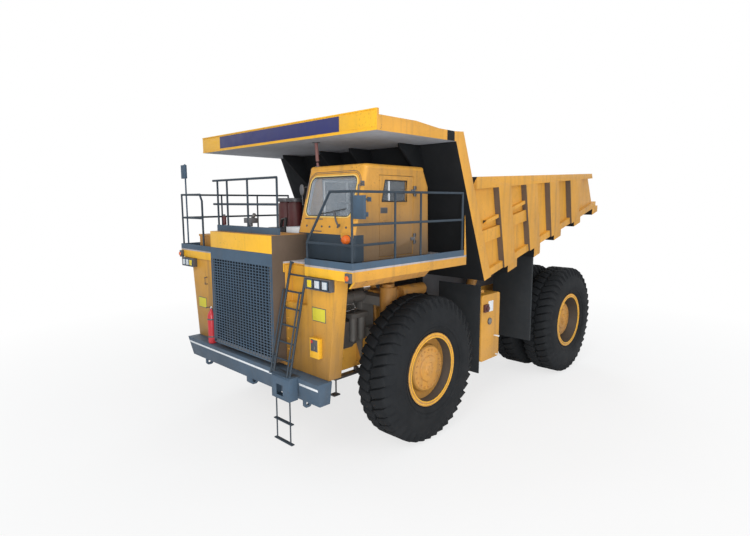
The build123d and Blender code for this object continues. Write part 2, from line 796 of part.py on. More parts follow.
with BuildPart() as bumper:
    with BuildSketch(Plane.YZ.offset(-BUMPER_HALF)) as section:
        with BuildLine():
            Polyline(
                (y_at(BUMPER_FRONT), BUMPER_TOP),
                (y_at(BUMPER_FRONT + BUMPER_LEAN), BUMPER_LOW),
                (y_at(BUMPER_FRONT + BUMPER_DEPTH), BUMPER_LOW),
                (y_at(BUMPER_FRONT + BUMPER_DEPTH), BUMPER_TOP),
                close=True,
            )
        make_face()
    extrude(section.sketch, amount=2 * BUMPER_HALF)
    for side in SIDES.values():
        front_on(
            [
                (side * BUMPER_HALF, BUMPER_TOP),
                (side * (BUMPER_HALF + 1), BUMPER_LOW - 1),
                (side * BUMPER_HALF_LOW, BUMPER_LOW - 1),
            ],
            (BUMPER_FRONT - 1, BUMPER_FRONT + BUMPER_DEPTH + 1),
            Mode.SUBTRACT,
        )
    for lug in (both((TOW_X, TOW_X + TOW_T), 1), both((TOW_X, TOW_X + TOW_T), -1), TOW_MIDDLE):
        side_on(
            [
                (TOW_STATION - 75, BUMPER_LOW + 5),
                (TOW_STATION - 75, TOW_Z - 40),
                (TOW_STATION - 40, TOW_Z - 75),
                (TOW_STATION + 40, TOW_Z - 75),
                (TOW_STATION + 75, TOW_Z - 40),
                (TOW_STATION + 75, BUMPER_LOW + 5),
            ],
            lug,
        )
        bar(
            (lug[0] - 1, TOW_STATION, TOW_Z),
            (lug[1] + 1, TOW_STATION, TOW_Z),
            TOW_HOLE_R,
            Mode.SUBTRACT,
        )
save(bumper, "bumper")

# Front panels between the bumper and the deck
with BuildPart() as front_panels:
    for side in SIDES.values():
        outer = [
            (side * HOUSING_HALF, BUMPER_TOP),
            (side * PANEL_OUT_LOW, BUMPER_TOP),
            (side * PANEL_OUT_TOP, PANEL_TOP),
            (side * PANEL_OUT_TOP, FASCIA_TOP - DECK_PLATE),
            (side * HOUSING_HALF, FASCIA_TOP - DECK_PLATE),
        ]
        front_on(outer, (PANEL_STATION, PANEL_STATION + PANEL_DEPTH))
        wall = PANEL_WALL
        front_on(
            [
                (side * (HOUSING_HALF + wall), BUMPER_TOP - 1),
                (side * (PANEL_OUT_LOW - wall), BUMPER_TOP - 1),
                (side * (PANEL_OUT_TOP - wall), PANEL_TOP),
                (side * (PANEL_OUT_TOP - wall), FASCIA_TOP - DECK_PLATE - wall),
                (side * (HOUSING_HALF + wall), FASCIA_TOP - DECK_PLATE - wall),
            ],
            (PANEL_STATION + wall, PANEL_STATION + PANEL_DEPTH + 1),
            Mode.SUBTRACT,
        )
    recess = (PANEL_STATION + 1, LANDING_STATION + wall)
    block((LANDING_X[0] - 15, LANDING_X[1] + wall), recess, (RECESS_LOW - wall, FASCIA_TOP - DECK_PLATE))
    block(LANDING_X, (PANEL_STATION - 1, LANDING_STATION), (RECESS_LOW, FASCIA_TOP), Mode.SUBTRACT)
save(front_panels, "front_panels")

# Deck: plates each side of the hood with a folded edge below them
with BuildPart() as deck:
    for side in SIDES.values():
        inner_x = HOOD_HALF + 5
        outline = [
            (side * HOUSING_HALF, DECK_FRONT),
            (side * DECK_HALF, DECK_FRONT),
            (side * DECK_HALF, DECK_REAR),
            (side * inner_x, DECK_REAR),
            (side * inner_x, HOUSING_REAR),
            (side * HOUSING_HALF, HOUSING_REAR),
        ]
        from_above(outline, (FASCIA_TOP - DECK_PLATE, DECK_TOP))
        block(
            both((HOUSING_HALF, DECK_HALF), side),
            (DECK_FRONT, DECK_FRONT + PANEL_WALL - 10),
            (FASCIA_LOW, FASCIA_TOP),
        )
        block(
            both((DECK_HALF - 50, DECK_HALF), side),
            (DECK_FRONT, DECK_REAR),
            (FASCIA_LOW, FASCIA_TOP),
        )
        front_on(
            [
                (side * DECK_HALF, FASCIA_LOW),
                (side * (DECK_HALF - SKIRT_IN), SKIRT_LOW),
                (side * (DECK_HALF - SKIRT_IN - 40), SKIRT_LOW),
                (side * (DECK_HALF - 50), FASCIA_LOW),
            ],
            (DECK_FRONT + 60, -400),
        )
        block(
            both((LANDING_X[1] if side > 0 else HOUSING_HALF + 400, DECK_HALF), side),
            (DECK_FRONT, DECK_FRONT + KICK_T),
            (DECK_TOP, KICK_TOP),
        )
        block(
            both((DECK_HALF - KICK_T, DECK_HALF), side),
            (DECK_FRONT, DECK_REAR - 80),
            (DECK_TOP, KICK_TOP),
        )
    block(LANDING_X, (DECK_FRONT - 1, LANDING_STATION), (FASCIA_LOW - 1, KICK_TOP), Mode.SUBTRACT)
save(deck, "deck")

with BuildPart() as deck_supports:
    for side in SIDES.values():
        block(both(COLUMN_X, side), COLUMN_STATIONS, (2600, FASCIA_TOP - DECK_PLATE))
        block(both((RAIL_OUT, COLUMN_X[1]), side), COLUMN_STATIONS, (2380, 2600))
        block(both((RAIL_IN, RAIL_IN + 130), side), (HOOD_REAR - 60, HOOD_REAR), (RAIL_FRONT_TOP, SKIRT_LOW))
save(deck_supports, "deck_supports")

# Handrails: tubes on posts
FRONT = RAIL_STATION
RAIL_RUNS = [
    # corners of each tube, as (x, station, z)
    [(LANDING_X[1] + 22, FRONT, KICK_TOP - 20), (LANDING_X[1] + 22, FRONT, RAIL_LOW_Z), (2150, FRONT, RAIL_TOP_Z),
     (RAIL_X, FRONT, RAIL_TOP_Z), (RAIL_X, RAIL_REAR, RAIL_TOP_Z), (RAIL_X, RAIL_REAR, DECK_TOP)],
    [(LANDING_X[1] + 22, FRONT, RAIL_LOW_Z), (RAIL_X, FRONT, RAIL_LOW_Z), (RAIL_X, -1240, RAIL_LOW_Z)],
    [(RAIL_X, FRONT, RAIL_MID_Z), (RAIL_X, RAIL_REAR, RAIL_MID_Z)],
    [(-1750, FRONT, DECK_TOP), (-1750, FRONT, 4420), (-1830, FRONT, RAIL_TOP_Z), (-RAIL_X, FRONT, RAIL_TOP_Z),
     (-RAIL_X, RAIL_REAR, RAIL_TOP_Z), (-RAIL_X, RAIL_REAR, DECK_TOP)],
    [(-1750, FRONT, RAIL_MID_Z), (-RAIL_X, FRONT, RAIL_MID_Z), (-RAIL_X, RAIL_REAR, RAIL_MID_Z)],
]
POSTS = [
    # x, station
    (RAIL_X, FRONT),
    (RAIL_X, -1240),
    (RAIL_X, -600),
    (-RAIL_X, FRONT),
    (-RAIL_X, -1240),
    (-RAIL_X, -300),
]


def tube_run(points):
    """Adds a handrail tube through (x, station, z) points, with ball corners."""
    for start, end in zip(points, points[1:]):
        bar(start, end, RAIL_TUBE_R)
    for corner in points[1:-1]:
        with Locations(place(corner)):
            Sphere(RAIL_TUBE_R + 1)


with BuildPart() as handrails:
    for run in RAIL_RUNS:
        tube_run(run)
    for x, station in POSTS:
        bar((x, station, DECK_TOP), (x, station, RAIL_TOP_Z), POST_R)
    # A second guard stands on the radiator housing
    block(
        (-HOUSING_HALF, HOOD_RAIL_POSTS[-1] + 30),
        (HOOD_RAIL_STATION - 25, HOOD_RAIL_STATION + 25),
        (HOUSING_TOP, HOOD_RAIL_BASE),
    )
    for x in HOOD_RAIL_POSTS:
        bar((x, HOOD_RAIL_STATION, HOOD_RAIL_BASE - 5), (x, HOOD_RAIL_STATION, HOOD_RAIL_TOP), POST_R)
    for z in (HOOD_RAIL_MID, HOOD_RAIL_TOP):
        bar(
            (HOOD_RAIL_POSTS[0] - 160, HOOD_RAIL_STATION, z),
            (HOOD_RAIL_POSTS[-1], HOOD_RAIL_STATION, z),
            RAIL_TUBE_R,
        )
save(handrails, "handrails")

# Ladder: a step box on the bumper, leaning rails up to the landing and steps hanging below
def ladder_station(z):
    """Gives the station of the ladder's leaning rails at a height."""
    share = (z - BUMPER_TOP) / (DECK_TOP - BUMPER_TOP)
    return LADDER_FOOT + share * (LADDER_HEAD - LADDER_FOOT)


with BuildPart() as ladder:
    block(STEP_X, (-NOSE, BUMPER_FRONT + 5), (STEP_LOW, BUMPER_TOP))
    block(
        (STEP_X[0] + STEP_WALL, STEP_X[1] - STEP_WALL),
        (-NOSE + STEP_WALL, BUMPER_FRONT + 100),
        (STEP_LOW + STEP_WALL, BUMPER_TOP - STEP_WALL),
        Mode.SUBTRACT,
    )
    middle = (STEP_X[0] + STEP_X[1]) / 2
    hole_z = (STEP_LOW + BUMPER_TOP) / 2 - 30
    block(
        (middle - STEP_HOLE / 2 - 20, middle + STEP_HOLE / 2 - 20),
        (-NOSE - 1, -NOSE + STEP_WALL + 1),
        (hole_z - STEP_HOLE / 2, hole_z + STEP_HOLE / 2),
        Mode.SUBTRACT,
    )
    # The bumper's leaning face trims the back of the box
    side_on(
        [
            (BUMPER_FRONT, BUMPER_TOP + 1),
            (BUMPER_FRONT, BUMPER_TOP),
            (BUMPER_FRONT + BUMPER_LEAN, BUMPER_LOW),
            (BUMPER_FRONT + 200, BUMPER_LOW),
            (BUMPER_FRONT + 200, BUMPER_TOP + 1),
        ],
        (STEP_X[0] - 1, STEP_X[1] + 1),
        Mode.SUBTRACT,
    )
    for x in (STEP_X[0] + 60, STEP_X[1] - 40):
        block((x - 12, x + 12), (HANG_STATION - 6, HANG_STATION + 6), (HANG_RUNGS[-1] - 16, STEP_LOW))
    for z in HANG_RUNGS:
        block((STEP_X[0] + 10, STEP_X[1] + 20), (HANG_STATION - 30, HANG_STATION + 30), (z - 16, z))
    tread = BUMPER_TOP + STEP_WALL
    block(
        (LADDER_X[0] - 30, STEP_X[1]),
        (LADDER_FOOT - 80, BUMPER_FRONT + 60),
        (BUMPER_TOP, tread),
    )
    for x in LADDER_X:
        bar((x, ladder_station(tread) - 5, tread - 8), (x, LADDER_HEAD, DECK_TOP), LADDER_RAIL_R)
        bar((x, LADDER_HEAD, DECK_TOP - 30), (x, LANDING_STATION, DECK_TOP - 30), GRAB_R)
        low, high = ladder_station(GRAB_LOW) - GRAB_OFFSET, ladder_station(GRAB_HIGH) - GRAB_OFFSET
        bar((x, LADDER_FOOT - 60, tread - 8), (x, low, GRAB_LOW), GRAB_R)
        bar((x, low, GRAB_LOW), (x, high, GRAB_HIGH), GRAB_R)
        with Locations(place((x, low, GRAB_LOW)), place((x, high, GRAB_HIGH))):
            Sphere(GRAB_R + 1)
        for z in (GRAB_LOW, GRAB_HIGH):
            bar((x, ladder_station(z) - GRAB_OFFSET, z), (x, ladder_station(z), z), GRAB_R - 2)
    for rung in range(RUNGS):
        z = RUNG_LOW + rung * RUNG_PITCH
        bar((LADDER_X[0], ladder_station(z), z), (LADDER_X[1], ladder_station(z), z), RUNG_R)
save(ladder, "ladder")

# Cab: a hollow shell with a leaning front
CAB_OUTLINE = [
    (CAB_FRONT_LOW, CAB_FLOOR),
    (CAB_FRONT_LOW, CAB_WAIST),
    (CAB_FRONT_TOP, CAB_ROOF),
    (CAB_REAR_TOP, CAB_ROOF),
    (230, 4670),
    (CAB_REAR_LOW, CAB_FLOOR),
]


def slanting(edges):
    """Picks the edges of an extruded side outline that run up its two sides."""
    return [edge for edge in edges if abs((edge @ 1 - edge @ 0).Z) > 200]


def screen_station(z):
    """Gives the station of the windscreen's outer face at a height."""
    return line_z((CAB_WAIST, CAB_FRONT_LOW), (CAB_ROOF, CAB_FRONT_TOP), z)


def screen_opening(mode):
    """Extrudes the windscreen's rounded outline through the cab's leaning front."""
    middle = ((CAB_IN + CAB_OUT) / 2, (SILL + HEAD) / 2)
    with BuildSketch(Plane.XZ.offset(-y_at(CAB_FRONT_LOW - 50))) as outline:
        with Locations(middle):
            RectangleRounded(CAB_WIDTH - 2 * SCREEN_EDGE, HEAD - SILL, SCREEN_CORNER_R)
    extrude(outline.sketch, amount=-500, mode=mode)


with BuildPart() as cab_shell:
    side_on(CAB_OUTLINE, (CAB_IN, CAB_OUT))
    fillet(slanting(cab_shell.edges()), CAB_CORNER_R)
    with BuildSketch(Plane.YZ.offset(CAB_IN + CAB_WALL)) as room:
        with BuildLine():
            Polyline(*[(y_at(s), z) for s, z in CAB_OUTLINE], close=True)
        make_face()
        offset(amount=-CAB_WALL, kind=Kind.INTERSECTION, mode=Mode.REPLACE)
    extrude(room.sketch, amount=CAB_OUT - CAB_IN - 2 * CAB_WALL, mode=Mode.SUBTRACT)
    block(
        (CAB_OUT - CAB_WALL - 1, CAB_OUT + 1),
        (DOOR_FRONT - PANEL_GAP, DOOR_REAR + PANEL_GAP),
        (DOOR_LOW - PANEL_GAP, DOOR_TOP + PANEL_GAP),
        Mode.SUBTRACT,
    )
    screen_opening(Mode.SUBTRACT)
    rear_window = (CAB_IN + SCREEN_EDGE, CAB_OUT - SCREEN_EDGE)
    block(rear_window, (CAB_REAR_TOP, CAB_REAR_LOW + 40), REAR_WINDOW, Mode.SUBTRACT)
    block((CAB_IN - 1, CAB_IN + CAB_WALL + 1), SIDE_WINDOW_STATIONS, SIDE_WINDOW, Mode.SUBTRACT)
    block(
        (CAB_IN + 40, CAB_OUT - 40),
        (CAB_FRONT_LOW + 40, CAB_REAR_LOW - 40),
        (DECK_TOP, CAB_FLOOR),
    )
    for z in HINGE_HEIGHTS:
        for low, high in ((z - HINGE_HALF, z - HINGE_HALF / 3), (z + HINGE_HALF / 3, z + HINGE_HALF)):
            bar((HINGE_X, HINGE_STATION, low), (HINGE_X, HINGE_STATION, high), HINGE_R)
            block((CAB_OUT - 1, HINGE_X), (HINGE_STATION + 2, HINGE_STATION + 60), (low, high))
        bar(
            (HINGE_X, HINGE_STATION, z - HINGE_HALF),
            (HINGE_X, HINGE_STATION, z + HINGE_HALF),
            HINGE_PIN_R,
        )
save(cab_shell, "cab_shell")

with BuildPart() as cab_roof:
    from_above(
        [
            (CAB_IN, CAB_FRONT_TOP),
            (CAB_OUT, CAB_FRONT_TOP),
            (CAB_OUT, CAB_REAR_TOP),
            (CAB_IN, CAB_REAR_TOP),
        ],
        (CAB_ROOF, CAB_ROOF + ROOF_T),
    )
    fillet(cab_roof.edges().filter_by(Axis.Z), CAB_CORNER_R)
    fillet(cab_roof.faces().sort_by(Axis.Z)[-1].edges(), ROOF_EDGE_R)
save(cab_roof, "cab_roof")

with BuildPart() as cab_door:
    block((CAB_OUT - CAB_WALL, CAB_OUT), (DOOR_FRONT, DOOR_REAR), (DOOR_LOW, DOOR_TOP))
    side_on(DOOR_WINDOW, (CAB_OUT - CAB_WALL - 1, CAB_OUT + 1), Mode.SUBTRACT)
    for z in HINGE_HEIGHTS:
        low = z - HINGE_HALF / 3 + 1
        high = z + HINGE_HALF / 3 - 1
        block((CAB_OUT - 1, HINGE_X), (DOOR_REAR - 60, DOOR_REAR), (low, high))
        block((CAB_OUT + 1, HINGE_X), (DOOR_REAR - 1, HINGE_STATION - 2), (low, high))
        bar((HINGE_X, HINGE_STATION, low), (HINGE_X, HINGE_STATION, high), HINGE_R)
        bar(
            (HINGE_X, HINGE_STATION, low - 1),
            (HINGE_X, HINGE_STATION, high + 1),
            HINGE_PIN_R + RUN_GAP,
            Mode.SUBTRACT,
        )
save(cab_door, "cab_door")

with BuildPart() as door_glass:
    side_on(DOOR_WINDOW, (CAB_OUT - GLASS_INSET - GLASS_T, CAB_OUT - GLASS_INSET))
save(door_glass, "door_glass")

with BuildPart() as cab_glass:
    screen_opening(Mode.ADD)
    side_on(
        [
            (screen_station(SILL - 1) + GLASS_INSET, SILL - 1),
            (screen_station(HEAD + 1) + GLASS_INSET, HEAD + 1),
            (screen_station(HEAD + 1) + GLASS_INSET + GLASS_T, HEAD + 1),
            (screen_station(SILL - 1) + GLASS_INSET + GLASS_T, SILL - 1),
        ],
        (CAB_IN, CAB_OUT),
        Mode.INTERSECT,
    )
    block(rear_window, (REAR_PANE, REAR_PANE + GLASS_T), REAR_WINDOW)
    block(
        (CAB_IN + GLASS_INSET, CAB_IN + GLASS_INSET + GLASS_T),
        SIDE_WINDOW_STATIONS,
        SIDE_WINDOW,
    )
save(cab_glass, "cab_glass")

# Cab interior: seat, dashboard and steering wheel
with BuildPart() as cab_interior:
    floor = CAB_FLOOR + CAB_WALL
    seat = (SEAT_X - SEAT_HALF, SEAT_X + SEAT_HALF)
    block((SEAT_X - 150, SEAT_X + 150), (-860, -460), (floor, SEAT_Z - 110))
    block(seat, (-930, -380), (SEAT_Z - 110, SEAT_Z))
    side_on(
        [(-400, SEAT_Z - 40), (-330, SEAT_Z + 640), (-230, SEAT_Z + 640), (-290, SEAT_Z - 40)],
        (seat[0] + 20, seat[1] - 20),
    )
    for side in SIDES.values():
        arm = both((SEAT_HALF - 60, SEAT_HALF), side)
        block((SEAT_X + arm[0], SEAT_X + arm[1]), (-760, -330), (SEAT_Z + 190, SEAT_Z + 240))
    dash = (CAB_IN + CAB_WALL, CAB_OUT - CAB_WALL)
    side_on(
        [
            (CAB_FRONT_LOW + CAB_WALL, floor),
            (CAB_FRONT_LOW + CAB_WALL, CAB_WAIST - 10),
            (screen_station(DASH_TOP) + CAB_WALL + 3, DASH_TOP),
            (CAB_FRONT_LOW + 320, DASH_TOP - 20),
            (CAB_FRONT_LOW + 300, floor + 300),
            (CAB_FRONT_LOW + 200, floor),
        ],
        dash,
    )
    column_low, column_high = (SEAT_X, -1420, DASH_TOP - 60), (SEAT_X, -1180, DASH_TOP + 160)
    bar(column_low, column_high, 28)
    tilt = Plane(origin=place(column_high), z_dir=place(column_high) - place(column_low))
    with Locations(tilt):
        Torus(WHEEL_RING_R, 17)
        Box(2 * WHEEL_RING_R, 26, 14)
save(cab_interior, "cab_interior")

# Mirrors: one on the cab's corner and one on a tall post at the far end of the deck
with BuildPart() as mirrors:
    for z in (MIRROR_Z[0] + 60, MIRROR_Z[1] - 60):
        foot = screen_station(z) + 190
        block((CAB_OUT, CAB_OUT + 22), (foot - 35, foot + 35), (z - 35, z + 35))
        bar((CAB_OUT + 18, foot, z), (MIRROR_X[0] + 90, MIRROR_STATION + 20, z), 14)
    block(MIRROR_X, (MIRROR_STATION - 25, MIRROR_STATION + 25), MIRROR_Z)
    bar((MIRROR_POST[0], MIRROR_POST[1], DECK_TOP), (MIRROR_POST[0], MIRROR_POST[1], MIRROR_POST_TOP), 16)
    block(
        (MIRROR_POST[0] - 95, MIRROR_POST[0] + 95),
        (MIRROR_POST[1] - 45, MIRROR_POST[1] - 5),
        (MIRROR_POST_TOP - 300, MIRROR_POST_TOP - 20),
    )
save(mirrors, "mirrors")

# Lamps below the deck's front edge and at its corners
with BuildPart() as lamps:
    for low_x, high_x, low_z, high_z in LAMP_BOXES:
        front = PANEL_STATION - LAMP_BOX_DEPTH
        block((low_x, high_x), (front, PANEL_STATION), (low_z, high_z))
        block((low_x + 16, high_x - 16), (front - 1, front + 45), (low_z + 14, high_z - 14), Mode.SUBTRACT)
        for step in (0.2, 0.5, 0.8):
            lamp = low_x + step * (high_x - low_x)
            middle_z = (low_z + high_z) / 2
            bar((lamp, front + 10, middle_z), (lamp, front + 46, middle_z), LAMP_R)
    for side in SIDES.values():
        block(both((DECK_HALF - 110, DECK_HALF), side), (DECK_FRONT - 45, DECK_FRONT), (3235, 3375))
        bar(
            (side * (DECK_HALF - 55), DECK_FRONT - 62, 3305),
            (side * (DECK_HALF - 55), DECK_FRONT - 44, 3305),
            45,
        )
save(lamps, "lamps")

# Air cleaners on the deck, with ducts to the hood
with BuildPart() as air_cleaners:
    for x in CLEANER_X:
        bar((x, CLEANER_STATION, DECK_TOP), (x, CLEANER_STATION, DECK_TOP + 40), CLEANER_R - 20)
        bar((x, CLEANER_STATION, DECK_TOP + 40), (x, CLEANER_STATION, CLEANER_TOP - 110), CLEANER_R)
        bar(
            (x, CLEANER_STATION, CLEANER_TOP - 110),
            (x, CLEANER_STATION, CLEANER_TOP - 80),
            CLEANER_R - 25,
        )
        bar((x, CLEANER_STATION, CLEANER_TOP - 80), (x, CLEANER_STATION, CLEANER_TOP), CLEANER_R + 12)
    duct = CLEANER_TOP - 780
    bar((CLEANER_X[0], CLEANER_STATION, duct), (-HOOD_HALF, CLEANER_STATION, duct), 75)
save(air_cleaners, "air_cleaners")

with BuildPart() as battery_box:
    block(BATTERY_BOX, (-2100, -1200), (DECK_TOP, 3700))
    block((BATTERY_BOX[0] - 12, BATTERY_BOX[1] - 0), (-2112, -1188), (3700, 3740))
save(battery_box, "battery_box")

# Fuel tank on the left and oil tank on the right, on arms from the rails
with BuildPart() as fuel_tank:
    block(TANK_X, TANK_STATIONS, TANK_Z)
    fillet(fuel_tank.edges().filter_by(Axis.X), TANK_CORNER_R)
    middle = (TANK_STATIONS[0] + TANK_STATIONS[1]) / 2
    block((RAIL_OUT, TANK_X[0]), (middle - 200, middle + 200), (1560, 1860))
    for z in (1560, 2150):
        block((TANK_X[0] - 12, TANK_X[1] - 80), (middle - 330, middle + 330), (z, z + 12), Mode.SUBTRACT)
    bar((TANK_X[1] - 250, middle, TANK_Z[1] - 5), (TANK_X[1] - 250, middle, TANK_Z[1] + 60), 60)
save(fuel_tank, "fuel_tank")

with BuildPart() as oil_tanks:
    front, rear = TANK_STATIONS[0], TANK_STATIONS[1] + 100
    bar((OIL_TANK_X, front, OIL_TANK_Z), (OIL_TANK_X, rear, OIL_TANK_Z), OIL_TANK_R)
    middle = (TANK_STATIONS[0] + TANK_STATIONS[1]) / 2
    block((OIL_TANK_X, -RAIL_OUT), (middle - 200, middle + 200), (1560, 1860))
    bar((AIR_TANK[0], 560, AIR_TANK[1]), (AIR_TANK[0], 1300, AIR_TANK[1]), AIR_TANK_R)
    block((AIR_TANK[0] - 90, COLUMN_X[1]), (COLUMN_STATIONS[1], 600), (2440, 2600))
save(oil_tanks, "oil_tanks")

# Mudguards behind the front wheels
with BuildPart() as mudguards:
    for side in SIDES.values():
        guard = (TANK_STATIONS[0] - GUARD_T, TANK_STATIONS[0])
        block(both(GUARD_X, side), guard, GUARD_Z)
save(mudguards, "mudguards")

# Dump body
def sloped(front, rear, drop, rise, x):
    """Adds a plate along the floor's slope between two stations."""
    side_on(
        [
            (front, floor_z(front) - drop),
            (rear, floor_z(rear) - drop),
            (rear, floor_z(rear) + rise),
            (front, floor_z(front) + rise),
        ],
        x,
    )


RIBS = [
    # how far ahead of the pivot: front and rear at the top rail, front and rear at the floor
    (4580, 4080, 4220, 3790),
    (3430, 2910, 3110, 2640),
    (2290, 1810, 2050, 1600),
    (1140, 490, 930, 500),
]
BOLSTERS = [
    # how far ahead of the pivot: front and rear, then the bottom z
    (3980, 3590, 2900),
    (2800, 2510, 3130),
    (1790, 1410, 3460),
    (640, 250, 3750),
    (-540, -910, 4025),
]
STIFFENERS = [
    # how far ahead of the pivot (front, rear), and share of the side's height
    (4900, 4330, 0.52),
    (3900, 3290, 0.52),
]
SIDE_X = BODY_HALF - RIB_DEPTH
with BuildPart() as dump_body:
    for side in SIDES.values():
        side_on(
            [HEAD_TOP, HEAD_TOP_REAR, VALLEY, RAIL_END, TAIL_LOW, FLOOR_FRONT],
            both((SIDE_X - SIDE_T, SIDE_X), side),
        )
        side_on(
            [
                VALLEY,
                RAIL_END,
                (RAIL_END[0] + 60, RAIL_END[1] - TOP_RAIL_REAR_H),
                (VALLEY[0], VALLEY[1] - TOP_RAIL_FRONT_H),
            ],
            both((SIDE_X - SIDE_T, BODY_HALF), side),
        )
        for rib in RIBS:
            top_front, top_rear, low_front, low_rear = [PIVOT_STATION - ahead for ahead in rib]
            side_on(
                [
                    (top_front, line_z(VALLEY, RAIL_END, top_front) - 60),
                    (top_rear, line_z(VALLEY, RAIL_END, top_rear) - 60),
                    (low_rear, floor_z(low_rear)),
                    (low_front, floor_z(low_front)),
                ],
                both((SIDE_X - 1, BODY_HALF), side),
            )
        sloped(FLOOR_FRONT[0], TAIL_LOW[0], 0, 150, both((SIDE_X - SIDE_T, BODY_HALF - 40), side))
        beam = both((RAIL_IN, RAIL_OUT), side)
        side_on(
            [
                (CHASSIS_BEAM[0], floor_z(CHASSIS_BEAM[0]) - 1),
                (CHASSIS_BEAM[0], RAIL_REAR_TOP + 300),
                (KICK_END, RAIL_REAR_TOP),
                (CHASSIS_BEAM[1] - 80, RAIL_REAR_TOP),
                (CHASSIS_BEAM[1], floor_z(CHASSIS_BEAM[1]) + 1),
            ],
            beam,
        )
        lug = both((BODY_LUG_IN, BODY_LUG_IN + BODY_LUG_T), side)
        side_on(
            [
                (PIVOT_STATION - 150, PIVOT_Z),
                (PIVOT_STATION + 150, PIVOT_Z),
                (PIVOT_STATION + 330, floor_z(PIVOT_STATION + 330) + 1),
                (PIVOT_STATION - 500, floor_z(PIVOT_STATION - 500) + 1),
            ],
            lug,
        )
        bar((lug[0], PIVOT_STATION, PIVOT_Z), (lug[1], PIVOT_STATION, PIVOT_Z), BODY_EYE_R)
        bar(
            (lug[0] - 1, PIVOT_STATION, PIVOT_Z),
            (lug[1] + 1, PIVOT_STATION, PIVOT_Z),
            PIVOT_R + RUN_GAP,
            Mode.SUBTRACT,
        )
        for inner_face in (HOIST_X - HOIST_EYE_T / 2 - 35 - HOIST_GAP, HOIST_X + HOIST_EYE_T / 2 + HOIST_GAP):
            side_on(
                [
                    (HOIST_HIGH[0] - 110, HOIST_HIGH[1] - 60),
                    (HOIST_HIGH[0] + 110, HOIST_HIGH[1] - 60),
                    (HOIST_HIGH[0] + 260, floor_z(HOIST_HIGH[0] + 260) + 1),
                    (HOIST_HIGH[0] - 260, floor_z(HOIST_HIGH[0] - 260) + 1),
                ],
                both((inner_face, inner_face + 35), side),
            )
    side_on(
        [
            FLOOR_FRONT,
            TAIL_LOW,
            (TAIL_LOW[0], TAIL_LOW[1] + FLOOR_T),
            (FLOOR_FRONT[0], FLOOR_FRONT[1] + FLOOR_T),
        ],
        (-SIDE_X, SIDE_X),
    )
    side_on(
        [
            HEAD_TOP,
            (HEAD_TOP[0] + WALL_T, HEAD_TOP[1]),
            (FLOOR_FRONT[0] + WALL_T, FLOOR_FRONT[1]),
            FLOOR_FRONT,
        ],
        (-SIDE_X, SIDE_X),
    )
    for ahead_front, ahead_rear, low in BOLSTERS:
        front, rear = PIVOT_STATION - ahead_front, PIVOT_STATION - ahead_rear
        top_front = min(front, TAIL_LOW[0])
        side_on(
            [
                (front, floor_z(top_front) + 5),
                (front, low),
                (rear, low + (rear - front) * FLOOR_SLOPE),
                (rear, min(floor_z(rear), floor_z(TAIL_LOW[0]) + 40)),
            ],
            (-BODY_HALF + 60, BODY_HALF - 60),
        )
    for side in SIDES.values():
        for ahead_front, ahead_rear, share in STIFFENERS:
            front, rear = PIVOT_STATION - ahead_front, PIVOT_STATION - ahead_rear
            rise = share * (VALLEY[1] - floor_z(VALLEY[0]))
            sloped(front, rear, -rise, rise + 70, both((SIDE_X - 1, BODY_HALF - 50), side))
        # The front edge is boxed out to the ribs' depth, as a slanting post
        side_on(
            [
                HEAD_TOP,
                HEAD_TOP_REAR,
                (FLOOR_FRONT[0] + 250, floor_z(FLOOR_FRONT[0] + 250)),
                FLOOR_FRONT,
            ],
            both((SIDE_X - 1, BODY_HALF), side),
        )
save(dump_body, "dump_body")

# Flaps ahead of the rear wheels, hung from a bolster
with BuildPart() as body_flaps:
    bolster = PIVOT_STATION - BOLSTERS[1][0]
    top = [BOLSTERS[1][2] + (along - bolster) * FLOOR_SLOPE for along in (FLAP_STATION, FLAP_STATION + FLAP_T)]
    for side in SIDES.values():
        side_on(
            [
                (FLAP_STATION, FLAP_LOW),
                (FLAP_STATION, top[0]),
                (FLAP_STATION + FLAP_T, top[1]),
                (FLAP_STATION + FLAP_T, FLAP_LOW),
            ],
            both(FLAP_X, side),
        )
save(body_flaps, "body_flaps")

with BuildPart() as canopy:
    underside = CANOPY_LOW + CANOPY_T
    block(
        (-CANOPY_HALF, CANOPY_HALF),
        (CANOPY_FRONT, CANOPY_FRONT + CANOPY_T),
        (CANOPY_LOW, CANOPY_TOP),
    )
    side_on(
        [
            (CANOPY_FRONT, CANOPY_EDGE),
            (HEAD_TOP[0], HEAD_TOP[1]),
            (HEAD_TOP[0], HEAD_TOP[1] - CANOPY_T),
            (CANOPY_FRONT, CANOPY_EDGE - CANOPY_T),
        ],
        (-CANOPY_HALF, CANOPY_HALF),
    )
    side_on(
        [
            (CANOPY_FRONT, CANOPY_LOW),
            (CANOPY_FRONT, underside),
            (head_station(underside) - FACE_GAP, underside),
            (head_station(CANOPY_LOW) - FACE_GAP, CANOPY_LOW),
        ],
        (-CANOPY_HALF, CANOPY_HALF),
    )
    for side in SIDES.values():
        side_on(
            [
                (CANOPY_FRONT, CANOPY_SIDE_TOP),
                (HEAD_TOP[0] - 1060, CANOPY_SIDE_TOP),
                (HEAD_TOP[0] - 180, CANOPY_SIDE_REAR),
                (HEAD_TOP[0], CANOPY_SIDE_REAR),
                (head_station(CANOPY_LOW) - FACE_GAP, CANOPY_LOW),
                (CANOPY_FRONT, CANOPY_LOW),
            ],
            both((CANOPY_HALF - CANOPY_T, CANOPY_HALF), side),
        )
    # Gussets stand against the body's front wall and carry the canopy
    top = CANOPY_LOW - FACE_GAP
    tip = head_station(top) - GUSSET_REACH
    outline = [
        (head_station(top) - FACE_GAP, top),
        (tip, top),
        (tip, top - GUSSET_EDGE),
        (head_station(GUSSET_LOW) - FACE_GAP, GUSSET_LOW),
    ]
    for side in SIDES.values():
        for x in GUSSET_X:
            side_on(outline, both((x - GUSSET_T / 2, x + GUSSET_T / 2), side))
save(canopy, "canopy")

